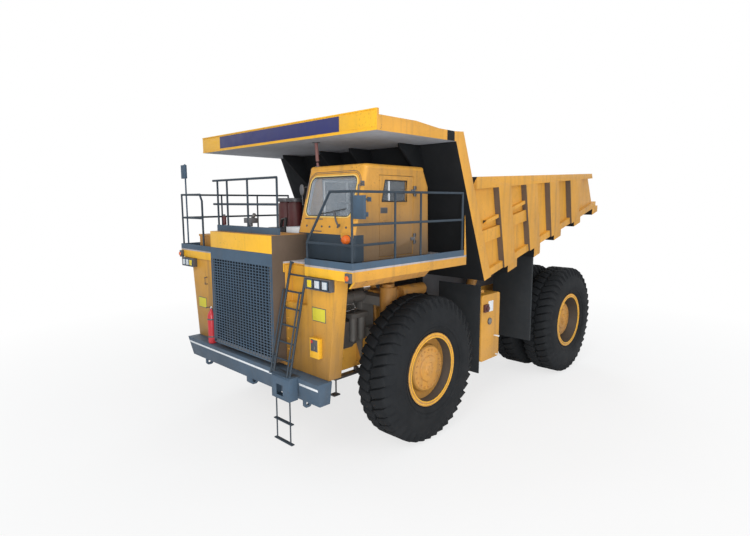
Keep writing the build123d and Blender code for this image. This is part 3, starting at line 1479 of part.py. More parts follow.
# Hoist cylinders, with the rod running inside the barrel
hoist_run = Vector(0, HOIST_HIGH[0] - HOIST_LOW[0], HOIST_HIGH[1] - HOIST_LOW[1])
HOIST_LENGTH = hoist_run.length
HOIST_LEAN = atan2(HOIST_HIGH[1] - HOIST_LOW[1], HOIST_HIGH[0] - HOIST_LOW[0])


def along_hoist(side, distance):
    """Gives the (x, station, z) point on a hoist's axis at a distance from its lower pin."""
    return (
        side * HOIST_X,
        HOIST_LOW[0] + distance * cos(HOIST_LEAN),
        HOIST_LOW[1] + distance * sin(HOIST_LEAN),
    )


for side_name, side in SIDES.items():
    eye = both((HOIST_X - HOIST_EYE_T / 2, HOIST_X + HOIST_EYE_T / 2), side)
    with BuildPart() as barrel:
        bar((eye[0], *HOIST_LOW), (eye[1], *HOIST_LOW), HOIST_EYE_R)
        bar(along_hoist(side, 60), along_hoist(side, HOIST_LENGTH - 330), HOIST_BARREL_R)
        bar(
            along_hoist(side, 140),
            along_hoist(side, HOIST_LENGTH - 300),
            HOIST_BORE_R,
            Mode.SUBTRACT,
        )
        gland = [HOIST_LENGTH - back for back in HOIST_GLAND]
        bar(along_hoist(side, gland[0]), along_hoist(side, gland[1]), HOIST_BARREL_R)
        bar(
            along_hoist(side, HOIST_LENGTH - 420),
            along_hoist(side, HOIST_LENGTH - 300),
            HOIST_ROD_R + RUN_GAP,
            Mode.SUBTRACT,
        )
        bar(
            (eye[0] - 1, *HOIST_LOW), (eye[1] + 1, *HOIST_LOW), HOIST_PIN_R + RUN_GAP, Mode.SUBTRACT
        )
    save(barrel, f"hoist_barrel_{side_name}")
    with BuildPart() as rod:
        bar(along_hoist(side, 230), along_hoist(side, HOIST_LENGTH), HOIST_ROD_R)
        bar(along_hoist(side, HOIST_PISTON[0]), along_hoist(side, HOIST_PISTON[1]), HOIST_BORE_R - 5)
        bar((eye[0], *HOIST_HIGH), (eye[1], *HOIST_HIGH), HOIST_EYE_R - 10)
    save(rod, f"hoist_rod_{side_name}")
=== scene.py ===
"""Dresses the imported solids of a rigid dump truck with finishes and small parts, in metres.

X runs across the truck with the cab at +X, Y runs from the front bumper to the tail, Z is up.
A station is a distance behind the front axle.
"""

import json
import logging
import math
from dataclasses import dataclass, field
from enum import Enum
from typing import Callable, Sequence

import bmesh
import bpy
from mathutils import Matrix, Vector

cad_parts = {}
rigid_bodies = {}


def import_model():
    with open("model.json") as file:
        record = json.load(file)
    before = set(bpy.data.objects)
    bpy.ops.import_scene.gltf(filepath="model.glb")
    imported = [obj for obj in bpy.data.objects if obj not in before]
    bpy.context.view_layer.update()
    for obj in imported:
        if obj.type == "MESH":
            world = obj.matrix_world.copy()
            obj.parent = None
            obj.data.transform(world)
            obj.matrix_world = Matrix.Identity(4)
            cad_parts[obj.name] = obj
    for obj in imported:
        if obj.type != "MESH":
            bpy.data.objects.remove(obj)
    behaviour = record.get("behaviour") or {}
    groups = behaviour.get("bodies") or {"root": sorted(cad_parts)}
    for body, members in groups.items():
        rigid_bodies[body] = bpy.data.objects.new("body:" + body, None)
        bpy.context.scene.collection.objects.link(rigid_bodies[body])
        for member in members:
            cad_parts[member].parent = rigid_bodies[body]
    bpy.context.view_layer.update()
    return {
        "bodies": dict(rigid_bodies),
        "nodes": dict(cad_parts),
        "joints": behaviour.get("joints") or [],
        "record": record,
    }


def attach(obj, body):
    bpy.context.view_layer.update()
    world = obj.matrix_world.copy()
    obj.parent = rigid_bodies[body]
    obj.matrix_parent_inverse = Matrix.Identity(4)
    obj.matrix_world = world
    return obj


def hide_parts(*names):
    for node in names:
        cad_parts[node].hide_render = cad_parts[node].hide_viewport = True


log = logging.getLogger("dump_truck")

FRONT_AXLE_Y = -2.3775
REAR_STATION = 5.54
AXLE_Z = 1.35
FRONT_WHEEL_X = 2.14
REAR_WHEEL_X = (2.33, 1.43)
ACROSS, BACK, UP = (Vector(axis) for axis in ((1, 0, 0), (0, 1, 0), (0, 0, 1)))
Rule = tuple["Finish", Callable[[Vector, Vector], bool]]
Point = tuple[float, float, float]
Socket = bpy.types.NodeSocket
Inputs = dict[str | int, object]


def at(x: float, station: float, z: float) -> Vector:
    """Gives the place of a point named by its station."""
    return Vector((x, FRONT_AXLE_Y + station, z))


class Side(Enum):
    """The truck's two sides, with the sign of X on each."""

    LEFT = 1
    RIGHT = -1


# Materials


class NodeTree:
    """Short calls for building a node tree."""

    def __init__(self, tree: bpy.types.NodeTree) -> None:
        """Keeps the tree."""
        self.tree = tree

    def fill(self, node: bpy.types.Node, inputs: Inputs) -> None:
        """Links or sets a node's inputs, each known by its name or place."""
        for name, value in inputs.items():
            if isinstance(value, bpy.types.NodeSocket):
                self.tree.links.new(value, node.inputs[name])
            else:
                node.inputs[name].default_value = value

    def node(self, kind: str, inputs: Inputs | None = None) -> bpy.types.Node:
        """Adds a node of a kind and fills its inputs."""
        node = self.tree.nodes.new(kind)
        self.fill(node, inputs or {})
        return node

    def maths(self, operation: str, one: Socket, other: Socket | float) -> Socket:
        """Adds a sum, a product or the like of two values."""
        node = self.node("ShaderNodeMath", {0: one, 1: other})
        node.operation = operation
        return node.outputs["Value"]


class MaterialTree(NodeTree):
    """Short calls for building a material's node tree."""

    def __init__(self, material: bpy.types.Material) -> None:
        """Empties the material's tree and adds its shader and output."""
        material.use_nodes = True
        super().__init__(material.node_tree)
        self.tree.nodes.clear()
        self.shader = self.node("ShaderNodeBsdfPrincipled")
        self.output = self.node("ShaderNodeOutputMaterial", {"Surface": self.shader.outputs["BSDF"]})
        self.place = self.node("ShaderNodeTexCoord").outputs["Object"]

    def noise(self, scale: float, detail: float, stretch: Sequence[float] = (1, 1, 1)) -> Socket:
        """Adds a noise pattern on the object's own coordinates.

        Args:
            scale: Pattern repeats per metre.
            detail: Levels of finer noise.
            stretch: Scale along each axis, for streaks.

        Returns:
            The pattern's value, from 0 to 1.
        """
        mapped = self.node("ShaderNodeMapping", {"Scale": stretch, "Vector": self.place}).outputs["Vector"]
        noise = self.node("ShaderNodeTexNoise", {"Scale": scale, "Detail": detail, "Vector": mapped})
        return noise.outputs["Fac"]

    def band(self, value: Socket, low: float, high: float, top: float = 1.0, bottom: float = 0.0) -> Socket:
        """Stretches a value between two limits to run from bottom to top."""
        limits = {"From Min": low, "From Max": high, "To Min": bottom, "To Max": top}
        return self.node("ShaderNodeMapRange", {"Value": value, **limits}).outputs["Result"]

    def height(self) -> Socket:
        """Gives the height above the ground."""
        return self.node("ShaderNodeSeparateXYZ", {"Vector": self.place}).outputs["Z"]

    def mix(self, share: Socket, under: Socket | Sequence[float], over: Sequence[float]) -> Socket:
        """Lays a colour over another by a share.

        Args:
            share: How much of the upper colour shows.
            under: The lower colour, as a socket or as red, green and blue.
            over: The upper colour, as red, green and blue.

        Returns:
            The mixed colour.
        """
        mix = self.node("ShaderNodeMix")
        mix.data_type = "RGBA"
        base = under if isinstance(under, bpy.types.NodeSocket) else (*under, 1)
        self.fill(mix, {"Factor": share, "A": base, "B": (*over, 1)})
        return mix.outputs["Result"]

    def bump(self, height: Socket, strength: float, distance: float) -> None:
        """Adds a bump from a pattern, over any that is there."""
        bump = self.node("ShaderNodeBump", {"Strength": strength, "Distance": distance, "Height": height})
        normal = self.shader.inputs["Normal"]
        if normal.is_linked:
            self.fill(bump, {"Normal": normal.links[0].from_socket})
        self.fill(self.shader, {"Normal": bump.outputs["Normal"]})


# Noise patterns of the finishes: repeats per metre, levels of finer noise and stretch along the axes
PATCHES = (0.9, 6)
MOTTLE = (11, 5)
STREAKS = (1.6, 5, (5, 5, 0.35))
DUST_PATCHES = (3, 6)
CHIPS = (30, 6)
CHIP_AREAS = (1.4, 3)
SHEEN = (5, 5)
DENTS = (2.2, 3)
GRAIN_DETAIL = 3
GLASS_DUST = (4, 6)
GLASS_SHEEN = (9, 5)
FLOOR_SPOTS = (0.6, 4)
DUST_Z = (3.4, 0.3)  # heights where the dust starts and where it is thickest


@dataclass(frozen=True)
class Finish:
    """A surface finish with colour variation, grime, wear, bump and an optional painted shade towards the
    bottom.
    """

    name: str
    slot: str
    colour: tuple[float, float, float]
    roughness: float = 0.45
    metallic: float = 0.0
    variation: float = 0.25
    grime: float = 0.3
    grime_colour: tuple[float, float, float] = (0.10, 0.075, 0.05)
    dust: float = 0.25
    dust_colour: tuple[float, float, float] = (0.36, 0.31, 0.25)
    chips: float = 0.0
    chip_colour: tuple[float, float, float] = (0.07, 0.03, 0.018)
    grain: float = 90.0
    grain_depth: float = 0.0008
    dents: float = 0.0015
    specular: float = 0.5
    # darker towards the bottom, between the fade_z heights: painted shade, with grime on the front panels
    fade: float = 0.0
    fade_z: tuple[float, float] = (4.7, 3.6)
    fade_colour: tuple[float, float, float] = (0.12, 0.085, 0.055)

    def material(self) -> bpy.types.Material:
        """Gives the finish's material, building it when first asked for."""
        known = bpy.data.materials.get(self.name)
        if known:
            return known
        material = bpy.data.materials.new(self.name)
        self.paint(MaterialTree(material))
        return material

    def paint(self, tree: MaterialTree) -> None:
        """Fills a material's tree."""
        shade = tuple(channel * (1 - self.variation) for channel in self.colour)
        colour = tree.mix(tree.band(tree.noise(*PATCHES), 0.35, 0.68), self.colour, shade)
        mottle = tree.band(tree.noise(*MOTTLE), 0.5, 0.75, self.variation * 0.6)
        colour = tree.mix(mottle, colour, self.grime_colour)
        streaks = tree.band(tree.noise(*STREAKS), 0.52, 0.74, self.grime)
        colour = tree.mix(streaks, colour, self.grime_colour)
        # painted shade: darker towards the bottom
        if self.fade:
            colour = tree.mix(tree.band(tree.height(), *self.fade_z, self.fade), colour, self.fade_colour)
        low = tree.band(tree.height(), *DUST_Z, self.dust)
        dust = tree.maths("MULTIPLY", low, tree.band(tree.noise(*DUST_PATCHES), 0.3, 0.7))
        colour = tree.mix(dust, colour, self.dust_colour)
        if self.chips:
            chips = tree.band(tree.noise(*CHIPS), 0.62, 0.66, self.chips)
            chips = tree.maths("MULTIPLY", chips, tree.band(tree.noise(*CHIP_AREAS), 0.45, 0.6))
            colour = tree.mix(chips, colour, self.chip_colour)
        dull, shiny = min(self.roughness + 0.2, 1), max(self.roughness - 0.12, 0.05)
        tree.fill(tree.shader, {
            "Base Color": colour, "Roughness": tree.band(tree.noise(*SHEEN), 0, 1, dull, shiny),
            "Metallic": self.metallic, "Specular IOR Level": self.specular,
        })
        tree.bump(tree.noise(*DENTS), 0.5, self.dents)
        tree.bump(tree.noise(self.grain, GRAIN_DETAIL), 0.35, self.grain_depth)


@dataclass(frozen=True)
class GlassFinish(Finish):
    """Clear or tinted glass with a little dust."""

    transmission: float = 1.0
    alpha: float = 1.0
    refraction: float = 1.45

    def paint(self, tree: MaterialTree) -> None:
        """Fills a material's tree."""
        dust = tree.band(tree.noise(*GLASS_DUST), 0.45, 0.8, self.dust)
        tree.fill(tree.shader, {
            "Base Color": tree.mix(dust, self.colour, self.dust_colour),
            "Roughness": tree.band(tree.noise(*GLASS_SHEEN), 0, 1, self.roughness + 0.1, self.roughness),
            "Transmission Weight": self.transmission, "Alpha": self.alpha, "IOR": self.refraction,
        })


@dataclass(frozen=True)
class FloorFinish(Finish):
    """A pale matt floor that runs out to the white surround for the camera and keeps its shadow."""

    near: float = 0.72
    reach: tuple[float, float] = (5.0, 14.0)

    def paint(self, tree: MaterialTree) -> None:
        """Fills a material's tree."""
        spots = tree.band(tree.noise(*FLOOR_SPOTS), 0.3, 0.8, 0.05)
        colour = tree.mix(spots, self.colour, self.dust_colour)
        surface = {"Base Color": colour, "Roughness": self.roughness, "Specular IOR Level": self.specular}
        tree.fill(tree.shader, surface)
        distance = tree.node("ShaderNodeVectorMath", {0: tree.place})
        distance.operation = "LENGTH"
        far = tree.band(distance.outputs["Value"], *self.reach, bottom=self.near)
        seen = tree.maths("MULTIPLY", tree.node("ShaderNodeLightPath").outputs["Is Camera Ray"], far)
        glow = tree.node("ShaderNodeEmission").outputs["Emission"]
        mix = tree.node("ShaderNodeMixShader", {"Fac": seen, 1: tree.shader.outputs["BSDF"], 2: glow})
        tree.fill(tree.output, {"Surface": mix.outputs["Shader"]})


YELLOW = Finish(
    "body_yellow", "body_paint", (0.70, 0.335, 0.036), 0.45, variation=0.16, grime=0.3, dust=0.2, chips=0.5
)
YELLOW_WORN = Finish(
    "body_yellow_worn", "body_paint", (0.60, 0.275, 0.045), 0.55, variation=0.3, grime=0.5, dust=0.3,
    chips=0.75,
)
# Painted light: a brighter copy of the body yellow for faces that look forward, front strips and raised rims
YELLOW_LIT = Finish(
    "body_yellow_bright", "body_paint", (0.90, 0.48, 0.02), 0.4, variation=0.1, grime=0.14, dust=0.1,
    chips=0.3,
)
YELLOW_PALE = Finish(
    "body_yellow_pale", "body_paint", (0.86, 0.62, 0.20), 0.5, variation=0.1, grime=0.1, dust=0.1
)
# Painted shade: a darker copy of the cab yellow for the cab's side faces, darker still towards the bottom
CAB_SIDE = Finish(
    "cab_side_yellow", "body_paint", (0.62, 0.30, 0.045), 0.5, variation=0.18, grime=0.35, dust=0.1,
    chips=0.4, fade=0.9,
)
# Painted shade: dark brown for the radiator housing's side faces and the ribs' forward faces
SHADE_BROWN = Finish(
    "shaded_brown", "body_paint", (0.125, 0.085, 0.058), 0.65, variation=0.35, grime=0.5, dust=0.1, chips=0.5
)
TRIM = Finish(
    "trim_blue_grey", "trim_paint", (0.062, 0.106, 0.160), 0.55, variation=0.25, grime=0.25, dust=0.1,
    chips=0.35, grime_colour=(0.06, 0.06, 0.06), specular=0.35,
)
TRIM_DARK = Finish(
    "trim_dark_blue", "trim_paint", (0.030, 0.047, 0.066), 0.55, variation=0.25, grime=0.2, dust=0.08,
    chips=0.2, grime_colour=(0.03, 0.03, 0.03), specular=0.35,
)
DARK = Finish(
    "dark_paint", "dark_paint", (0.0145, 0.017, 0.02), 0.6, variation=0.3, grime=0.2, dust=0.12,
    grime_colour=(0.02, 0.018, 0.016), dust_colour=(0.05, 0.05, 0.05), specular=0.35,
)
# Painted light: a brighter copy of the body yellow for the frame rails' outer sides, which lie in the deck's
# shadow
RAIL_LIT = Finish(
    "rail_yellow", "body_paint", (0.98, 0.50, 0.075), 0.5, variation=0.12, grime=0.2, dust=0.1, chips=0.4
)
# Painted shade: near black for the dump body's front wall and underside, the posts' forward edges, the
# canopy's gussets and side band, and the radiator housing's inner faces
SHADE_DARK = Finish(
    "body_wall_dark", "dark_paint", (0.0100, 0.0115, 0.0135), 0.75, variation=0.3, grime=0.15, dust=0.1,
    grime_colour=(0.012, 0.011, 0.011), dust_colour=(0.02, 0.02, 0.02), specular=0.22,
)
# Darker and browner towards the bottom: painted shade and grime
PANEL = Finish(
    "front_panel_yellow", "body_paint", (0.70, 0.34, 0.030), 0.45, variation=0.18, grime=0.45, dust=0.1,
    chips=0.2, fade=0.8, fade_z=(3.15, 1.5), fade_colour=(0.20, 0.105, 0.032),
)
MAROON_FADED = Finish("maroon_faded", "maroon", (0.27, 0.115, 0.11), 0.6, variation=0.25, grime=0.2, dust=0.1)
LINER = Finish(
    "body_liner", "body_paint", (0.30, 0.20, 0.11), 0.75, variation=0.4, grime=0.6, dust=0.5, chips=1.0
)
CANOPY_LIGHT = Finish(
    "canopy_underside", "canopy_paint", (0.34, 0.36, 0.40), 0.7, variation=0.15, grime=0.2, dust=0.1
)
DECK_TOP = Finish(
    "deck_plate", "body_paint", (0.46, 0.42, 0.42), 0.7, variation=0.25, grime=0.35, dust=0.5, grain=45,
    grain_depth=0.003,
)
RUBBER = Finish(
    "tyre_rubber", "tyre", (0.0105, 0.0122, 0.0145), 0.74, variation=0.3, grime=0.15, dust=0.22,
    dust_colour=(0.042, 0.044, 0.047), grime_colour=(0.02, 0.02, 0.02), grain=60, grain_depth=0.003,
    dents=0.004, specular=0.22,
)
RIM = Finish(
    "rim_yellow", "body_paint", (0.66, 0.30, 0.034), 0.5, variation=0.25, grime=0.45, dust=0.3, chips=0.8
)
RIM_DISC = Finish(
    "rim_disc", "body_paint", (0.50, 0.235, 0.035), 0.55, variation=0.3, grime=0.5, dust=0.35, chips=0.7,
    grime_colour=(0.16, 0.095, 0.04), dust_colour=(0.25, 0.15, 0.06),
)
# The rim's inner barrel, dark: painted shade in the recess, with grease
RIM_WELL = Finish(
    "rim_barrel", "body_paint", (0.085, 0.062, 0.045), 0.6, variation=0.4, grime=0.6, dust=0.3,
    grime_colour=(0.035, 0.035, 0.038), dust_colour=(0.08, 0.06, 0.045),
)
FLAP = Finish(
    "rubber_flap", "rubber", (0.015, 0.019, 0.023), 0.8, variation=0.3, grime=0.1, dust=0.2,
    grime_colour=(0.02, 0.02, 0.02), dust_colour=(0.07, 0.075, 0.08),
)
CAST = Finish(
    "cast_iron", "cast_iron", (0.15, 0.15, 0.155), 0.62, 0.1, variation=0.5, grime=0.6, dust=0.3,
    grime_colour=(0.05, 0.045, 0.04), dust_colour=(0.2, 0.2, 0.2), grain=40, grain_depth=0.003,
)
STEEL = Finish("bare_steel", "cast_iron", (0.30, 0.29, 0.28), 0.4, 0.8, variation=0.35, grime=0.4, dust=0.2)
CHROME = Finish(
    "polished_rod", "chrome", (0.62, 0.63, 0.65), 0.14, 1.0, variation=0.06, grime=0.08, dust=0.05, dents=0.0,
    grain_depth=0.0001,
)
MAROON = Finish("maroon_paint", "maroon", (0.105, 0.018, 0.02), 0.5, variation=0.3, grime=0.3, dust=0.3)
RED = Finish("red_paint", "maroon", (0.60, 0.02, 0.035), 0.35, variation=0.15, grime=0.15, dust=0.15)
WHITE = Finish("white_paint", "lamp", (0.78, 0.81, 0.84), 0.5, variation=0.08, grime=0.1, dust=0.05)
BLUE_PLATE = Finish(
    "blank_blue_plate", "body_paint", (0.022, 0.026, 0.13), 0.45, variation=0.12, grime=0.08, dust=0.05
)
SIGN_YELLOW = Finish(
    "blank_yellow_plate", "body_paint", (0.62, 0.55, 0.03), 0.5, variation=0.12, grime=0.15, dust=0.1
)
INTERIOR = Finish("cab_trim", "interior", (0.50, 0.53, 0.57), 0.7, variation=0.2, grime=0.1, dust=0.1)
INTERIOR_DARK = Finish(
    "cab_panel", "interior", (0.06, 0.062, 0.068), 0.65, variation=0.2, grime=0.1, dust=0.1
)
SEAT = Finish(
    "seat_cloth", "interior", (0.045, 0.05, 0.065), 0.9, variation=0.3, grime=0.1, dust=0.1, grain=240,
    grain_depth=0.002,
)
HOSE = Finish("hose_rubber", "rubber", (0.012, 0.012, 0.013), 0.55, variation=0.2, grime=0.2, dust=0.2)
MIRROR = Finish(
    "mirror_face", "chrome", (0.72, 0.75, 0.78), 0.06, 1.0, variation=0.05, grime=0.05, dust=0.04, dents=0.0,
    grain_depth=0.0,
)
GLASS = GlassFinish(
    "window_glass", "glass", (0.16, 0.18, 0.20), 0.04, dust=0.2, dust_colour=(0.4, 0.4, 0.4),
    transmission=0.0, alpha=0.4,
)
SCREEN = GlassFinish(
    "windscreen_glass", "glass", (0.50, 0.57, 0.64), 0.04, dust=0.5, dust_colour=(0.72, 0.76, 0.80),
    transmission=0.0, alpha=0.24,
)
LAMP_CLEAR = GlassFinish("lamp_clear", "lamp", (0.86, 0.92, 0.96), 0.1, dust=0.2, transmission=0.35)
LAMP_YELLOW = GlassFinish("lamp_yellow", "lamp", (0.86, 0.66, 0.02), 0.15, dust=0.1, transmission=0.2)
LAMP_ORANGE = GlassFinish("lamp_orange", "lamp", (0.88, 0.16, 0.01), 0.15, dust=0.1, transmission=0.2)
FLOOR = FloorFinish("floor", "", (0.86, 0.86, 0.86), 0.85, specular=0.1)


# Shapes


def turned(axis: Vector) -> Matrix:
    """Gives the turn that takes Z to an axis."""
    return axis.to_track_quat("Z", "Y").to_matrix()


def circle(centre: Vector, axis: Vector, radius: float, sides: int) -> list[Vector]:
    """Gives points round a circle that looks along an axis."""
    turn = turned(axis)
    angles = [2 * math.pi * step / sides for step in range(sides)]
    return [centre + turn @ Vector((radius * math.cos(a), radius * math.sin(a), 0)) for a in angles]


class Shape:
    """Gathers faces into one mesh, each with its finish, and hands it to the frame."""

    def __init__(self, name: str) -> None:
        """Starts an empty shape."""
        self.name = name
        self.mesh = bmesh.new()
        self.finishes: list[Finish] = []

    def index(self, finish: Finish) -> int:
        """Gives a finish's place in the mesh's material list."""
        if finish not in self.finishes:
            self.finishes.append(finish)
        return self.finishes.index(finish)

    def skin(self, rings: Sequence[Sequence[Vector]], finish: Finish, closed: bool = False) -> None:
        """Joins rings of points into a tube, with flat ends unless it closes on itself.

        Args:
            rings: Rings of the same number of points, in order.
            finish: The finish of every face.
            closed: Whether the last ring joins the first.
        """
        number = self.index(finish)
        made = [[self.mesh.verts.new(point) for point in ring] for ring in rings]
        faces = []
        pairs = list(zip(made, made[1:])) + ([(made[-1], made[0])] if closed else [])
        for one, other in pairs:
            for here in range(len(one)):
                after = (here + 1) % len(one)
                faces.append(self.mesh.faces.new((one[here], one[after], other[after], other[here])))
        if not closed:
            faces.append(self.mesh.faces.new(list(reversed(made[0]))))
            faces.append(self.mesh.faces.new(made[-1]))
        for face in faces:
            face.material_index = number
        bmesh.ops.recalc_face_normals(self.mesh, faces=faces)

    def box(self, low: Vector, high: Vector, finish: Finish) -> None:
        """Adds a box between two corners."""
        corners = ((low.x, low.y), (high.x, low.y), (high.x, high.y), (low.x, high.y))
        self.skin([[Vector((x, y, z)) for x, y in corners] for z in (low.z, high.z)], finish)

    def boxes(self, rows: Sequence[tuple[Point, Point, Finish]]) -> None:
        """Adds boxes from their low and high corners, each given as X, station and Z."""
        for low, high, finish in rows:
            self.box(at(*low), at(*high), finish)

    def prism(self, outline: Sequence[Vector], path: Vector, finish: Finish) -> None:
        """Extrudes a flat outline along a path."""
        self.skin([list(outline), [point + path for point in outline]], finish)

    def rod(
        self, start: Vector, end: Vector, radius: float, finish: Finish, end_radius: float = -1,
        sides: int = 24,
    ) -> None:
        """Adds a round bar between two points, or a cone where the end has a radius of its own."""
        far = radius if end_radius < 0 else end_radius
        rings = [circle(centre, end - start, size, sides) for centre, size in ((start, radius), (end, far))]
        self.skin(rings, finish)

    def rods(self, rows: Sequence[tuple[Point, Point, float, Finish]]) -> None:
        """Adds round bars from their ends, each given as X, station and Z, and their radius."""
        for start, end, radius, finish in rows:
            self.rod(at(*start), at(*end), radius, finish)

    def tube(self, points: Sequence[Vector], radius: float, finish: Finish, sides: int = 10) -> None:
        """Adds a bent tube through points, with its corners mitred."""
        rings = []
        for place, point in enumerate(points):
            before = points[max(place - 1, 0)]
            after = points[min(place + 1, len(points) - 1)]
            rings.append(circle(point, (after - before).normalized(), radius, sides))
        self.skin(rings, finish)

    def pipe(self, points: Sequence[Point], radius: float, finish: Finish, sides: int = 10) -> None:
        """Adds a bent tube through points given as X, station and Z."""
        self.tube([at(*point) for point in points], radius, finish, sides)

    def lathe(
        self, profile: Sequence[tuple[float, float]], centre: Vector, axis: Vector, finish: Finish,
        steps: int = 48,
    ) -> None:
        """Turns a closed (distance along the axis, radius) outline about an axis.

        Args:
            profile: Outline points, all with a radius over zero.
            centre: A point on the axis, at distance zero.
            axis: The axis' direction.
            finish: The finish of every face.
            steps: Flats round the axis.
        """
        turn = turned(axis)
        rings = []
        for step in range(steps):
            angle = 2 * math.pi * step / steps
            spoke = Vector((math.cos(angle), math.sin(angle), 0))
            rings.append([centre + turn @ (spoke * radius + along * UP) for along, radius in profile])
        self.skin(rings, finish, closed=True)

    def take(self, mesh: bpy.types.Mesh, finish: Finish, place: Matrix) -> None:
        """Adds a finished mesh at a place, in one finish."""
        number = self.index(finish)
        before = len(self.mesh.faces)
        mesh.transform(place)
        self.mesh.from_mesh(mesh)
        self.mesh.faces.ensure_lookup_table()
        for face in self.mesh.faces[before:]:
            face.material_index = number
        bpy.data.meshes.remove(mesh)

    def object(self, bevel: float, smooth: float) -> bpy.types.Object:
        """Makes the object, with its edges bevelled.

        Args:
            bevel: The bevel's width, or 0 for none.
            smooth: Angle in degrees under which neighbouring faces shade as one.

        Returns:
            The object, linked to the scene.
        """
        data = bpy.data.meshes.new(self.name)
        self.mesh.to_mesh(data)
        self.mesh.free()
        for finish in self.finishes:
            data.materials.append(finish.material())
        piece = bpy.data.objects.new(self.name, data)
        bpy.context.scene.collection.objects.link(piece)
        if bevel:
            bevelled(piece, bevel)
        piece.data.shade_smooth()
        piece.data.set_sharp_from_angle(angle=math.radians(smooth))
        return piece

    def done(
        self, body: str, bevel: float = 0.0, smooth: float = 35, replaces: Sequence[str] = ()
    ) -> bpy.types.Object:
        """Makes the object and sets what it rides on and what it stands for."""
        piece = self.object(bevel, smooth)
        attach(piece, body)
        if replaces:
            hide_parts(*replaces)
        log.info("%s rides on %s", self.name, body)
        return piece


BEVEL_ANGLE = 38  # an edge this sharp or sharper, in degrees, is rounded
BEVEL_SEGMENTS = 2
COAT_SMOOTH = 32  # faces of a coat that meet under this angle, in degrees, shade as one
WELD = 0.00005  # vertices nearer than this are one
CUT_REACH = 0.0001  # a cut snaps to vertices nearer than this
FLAT_ANGLE = 0.4  # faces that meet under this angle, in degrees, are one


def bevelled(piece: bpy.types.Object, width: float) -> None:
    """Rounds an object's sharp edges and keeps the result as its mesh."""
    modifier = piece.modifiers.new("edge", "BEVEL")
    modifier.width = width
    modifier.segments = BEVEL_SEGMENTS
    modifier.limit_method = "ANGLE"
    modifier.angle_limit = math.radians(BEVEL_ANGLE)
    modifier.harden_normals = False
    whole = bpy.data.meshes.new_from_object(piece.evaluated_get(bpy.context.evaluated_depsgraph_get()))
    old = piece.data
    piece.modifiers.remove(modifier)
    piece.data = whole
    bpy.data.meshes.remove(old)


class SolidCoat:
    """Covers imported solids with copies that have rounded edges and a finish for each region."""

    def __init__(self, frame: dict) -> None:
        """Keeps the loaded frame."""
        self.frame = frame

    def cover(self, node: str, finish: Finish, rules: Sequence[Rule], bevel: float) -> bpy.types.Object:
        """Replaces one solid by its dressed copy.

        Args:
            node: The solid's name.
            finish: The finish where no rule holds.
            rules: Pairs of a finish and a test on a face's middle and normal, the last that holds wins.
            bevel: Width of the rounded edges, or 0.

        Returns:
            The dressed copy.
        """
        shape = Shape(f"coat_{node}")
        mesh = shape.mesh
        mesh.from_mesh(self.frame["nodes"][node].data)
        bmesh.ops.remove_doubles(mesh, verts=mesh.verts, dist=WELD)
        for axis, place in CUTS.get(node, ()):
            point, normal = Vector(), Vector()
            point[axis] = place + (FRONT_AXLE_Y if axis == 1 else 0)
            normal[axis] = 1
            parts = mesh.verts[:] + mesh.edges[:] + mesh.faces[:]
            bmesh.ops.bisect_plane(mesh, geom=parts, dist=CUT_REACH, plane_co=point, plane_no=normal)
        shape.index(finish)
        for face in mesh.faces:
            face.material_index = 0
            middle = face.calc_center_median()
            middle.y -= FRONT_AXLE_Y
            for over, test in rules:
                if test(middle, face.normal):
                    face.material_index = shape.index(over)
        flat = math.radians(FLAT_ANGLE)
        bmesh.ops.dissolve_limit(
            mesh, angle_limit=flat, verts=mesh.verts, edges=mesh.edges, delimit={"MATERIAL"}
        )
        bodies = self.frame["record"]["behaviour"]["bodies"]
        body = next(name for name, nodes in bodies.items() if node in nodes)
        return shape.done(body, bevel, COAT_SMOOTH, [node])


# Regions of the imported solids: m is a face's middle with its station as y, n is its normal

DECK_TOP_Z = 3.42
DECK_PLATE = 0.03
CAB_WAIST_Z = 3.875
CAB_SIDE_X = 2.15
CAB_FRONT_STATION = -1.70
CAB_MIDDLE = Vector((1.435, -0.75, 4.2))
WRAP = 0.23  # how far the cab's blue-grey front runs round its corner
HEADER_Z = (3.35, 3.557)
GRILLE_STATION = -2.35  # the radiator housing's face lies before it
FRAME_TOP_Z = 1.66
# stations between which the canopy's side carries a painted shadow band
BUMPER_TOP_Z = 1.612
CANOPY_SHADOW_BAND = (0.117, 0.335)
HEAD_EDGE = ((0.33, 5.62), (1.45, 2.84))  # station and height of the front wall's upper and lower end
FLOOR_SLOPE = 0.2456
WALL_X = 2.4  # the dump body's side walls lie outside it
POST_X = 2.2  # the headboard's side posts and the ribs lie outside it
DISC_RADII = (0.36, 0.59)


def down(normal: Vector) -> bool:
    """Tells whether a face looks down."""
    return normal.z < -0.5


def head_station(z: float) -> float:
    """Gives the station of the dump body's front wall at a height."""
    (low_s, high_z), (far_s, low_z) = HEAD_EDGE
    return low_s + (high_z - z) / (high_z - low_z) * (far_s - low_s)


def in_cab(m: Vector, n: Vector) -> bool:
    """Tells whether a face of the cab shell looks into the cab."""
    return (CAB_MIDDLE - m).dot(n) > 0 and 0.8 < m.x < 2.10 and -1.66 < m.y < 0.2 and 3.48 < m.z < 4.9


def cab_skirt(m: Vector, n: Vector) -> bool:
    """Tells whether a face is on the cab's blue-grey lower front."""
    return m.z < CAB_WAIST_Z and m.y < CAB_FRONT_STATION + WRAP and n.y < 0.2


def body_shade(m: Vector, n: Vector) -> bool:
    """Tells whether a face is on the dump body's front wall or underside, which take painted shade."""
    inner = abs(m.x) < 2.52
    return inner and (n.y < -0.6 or (n.z < -0.25 and m.z < 4.4))


def rib_front(m: Vector, n: Vector) -> bool:
    """Tells whether a face is the forward side of a rib or of the top rail, which takes painted shade."""
    return n.y < -0.5 and abs(m.x) > POST_X and m.y - head_station(m.z) > 0.6


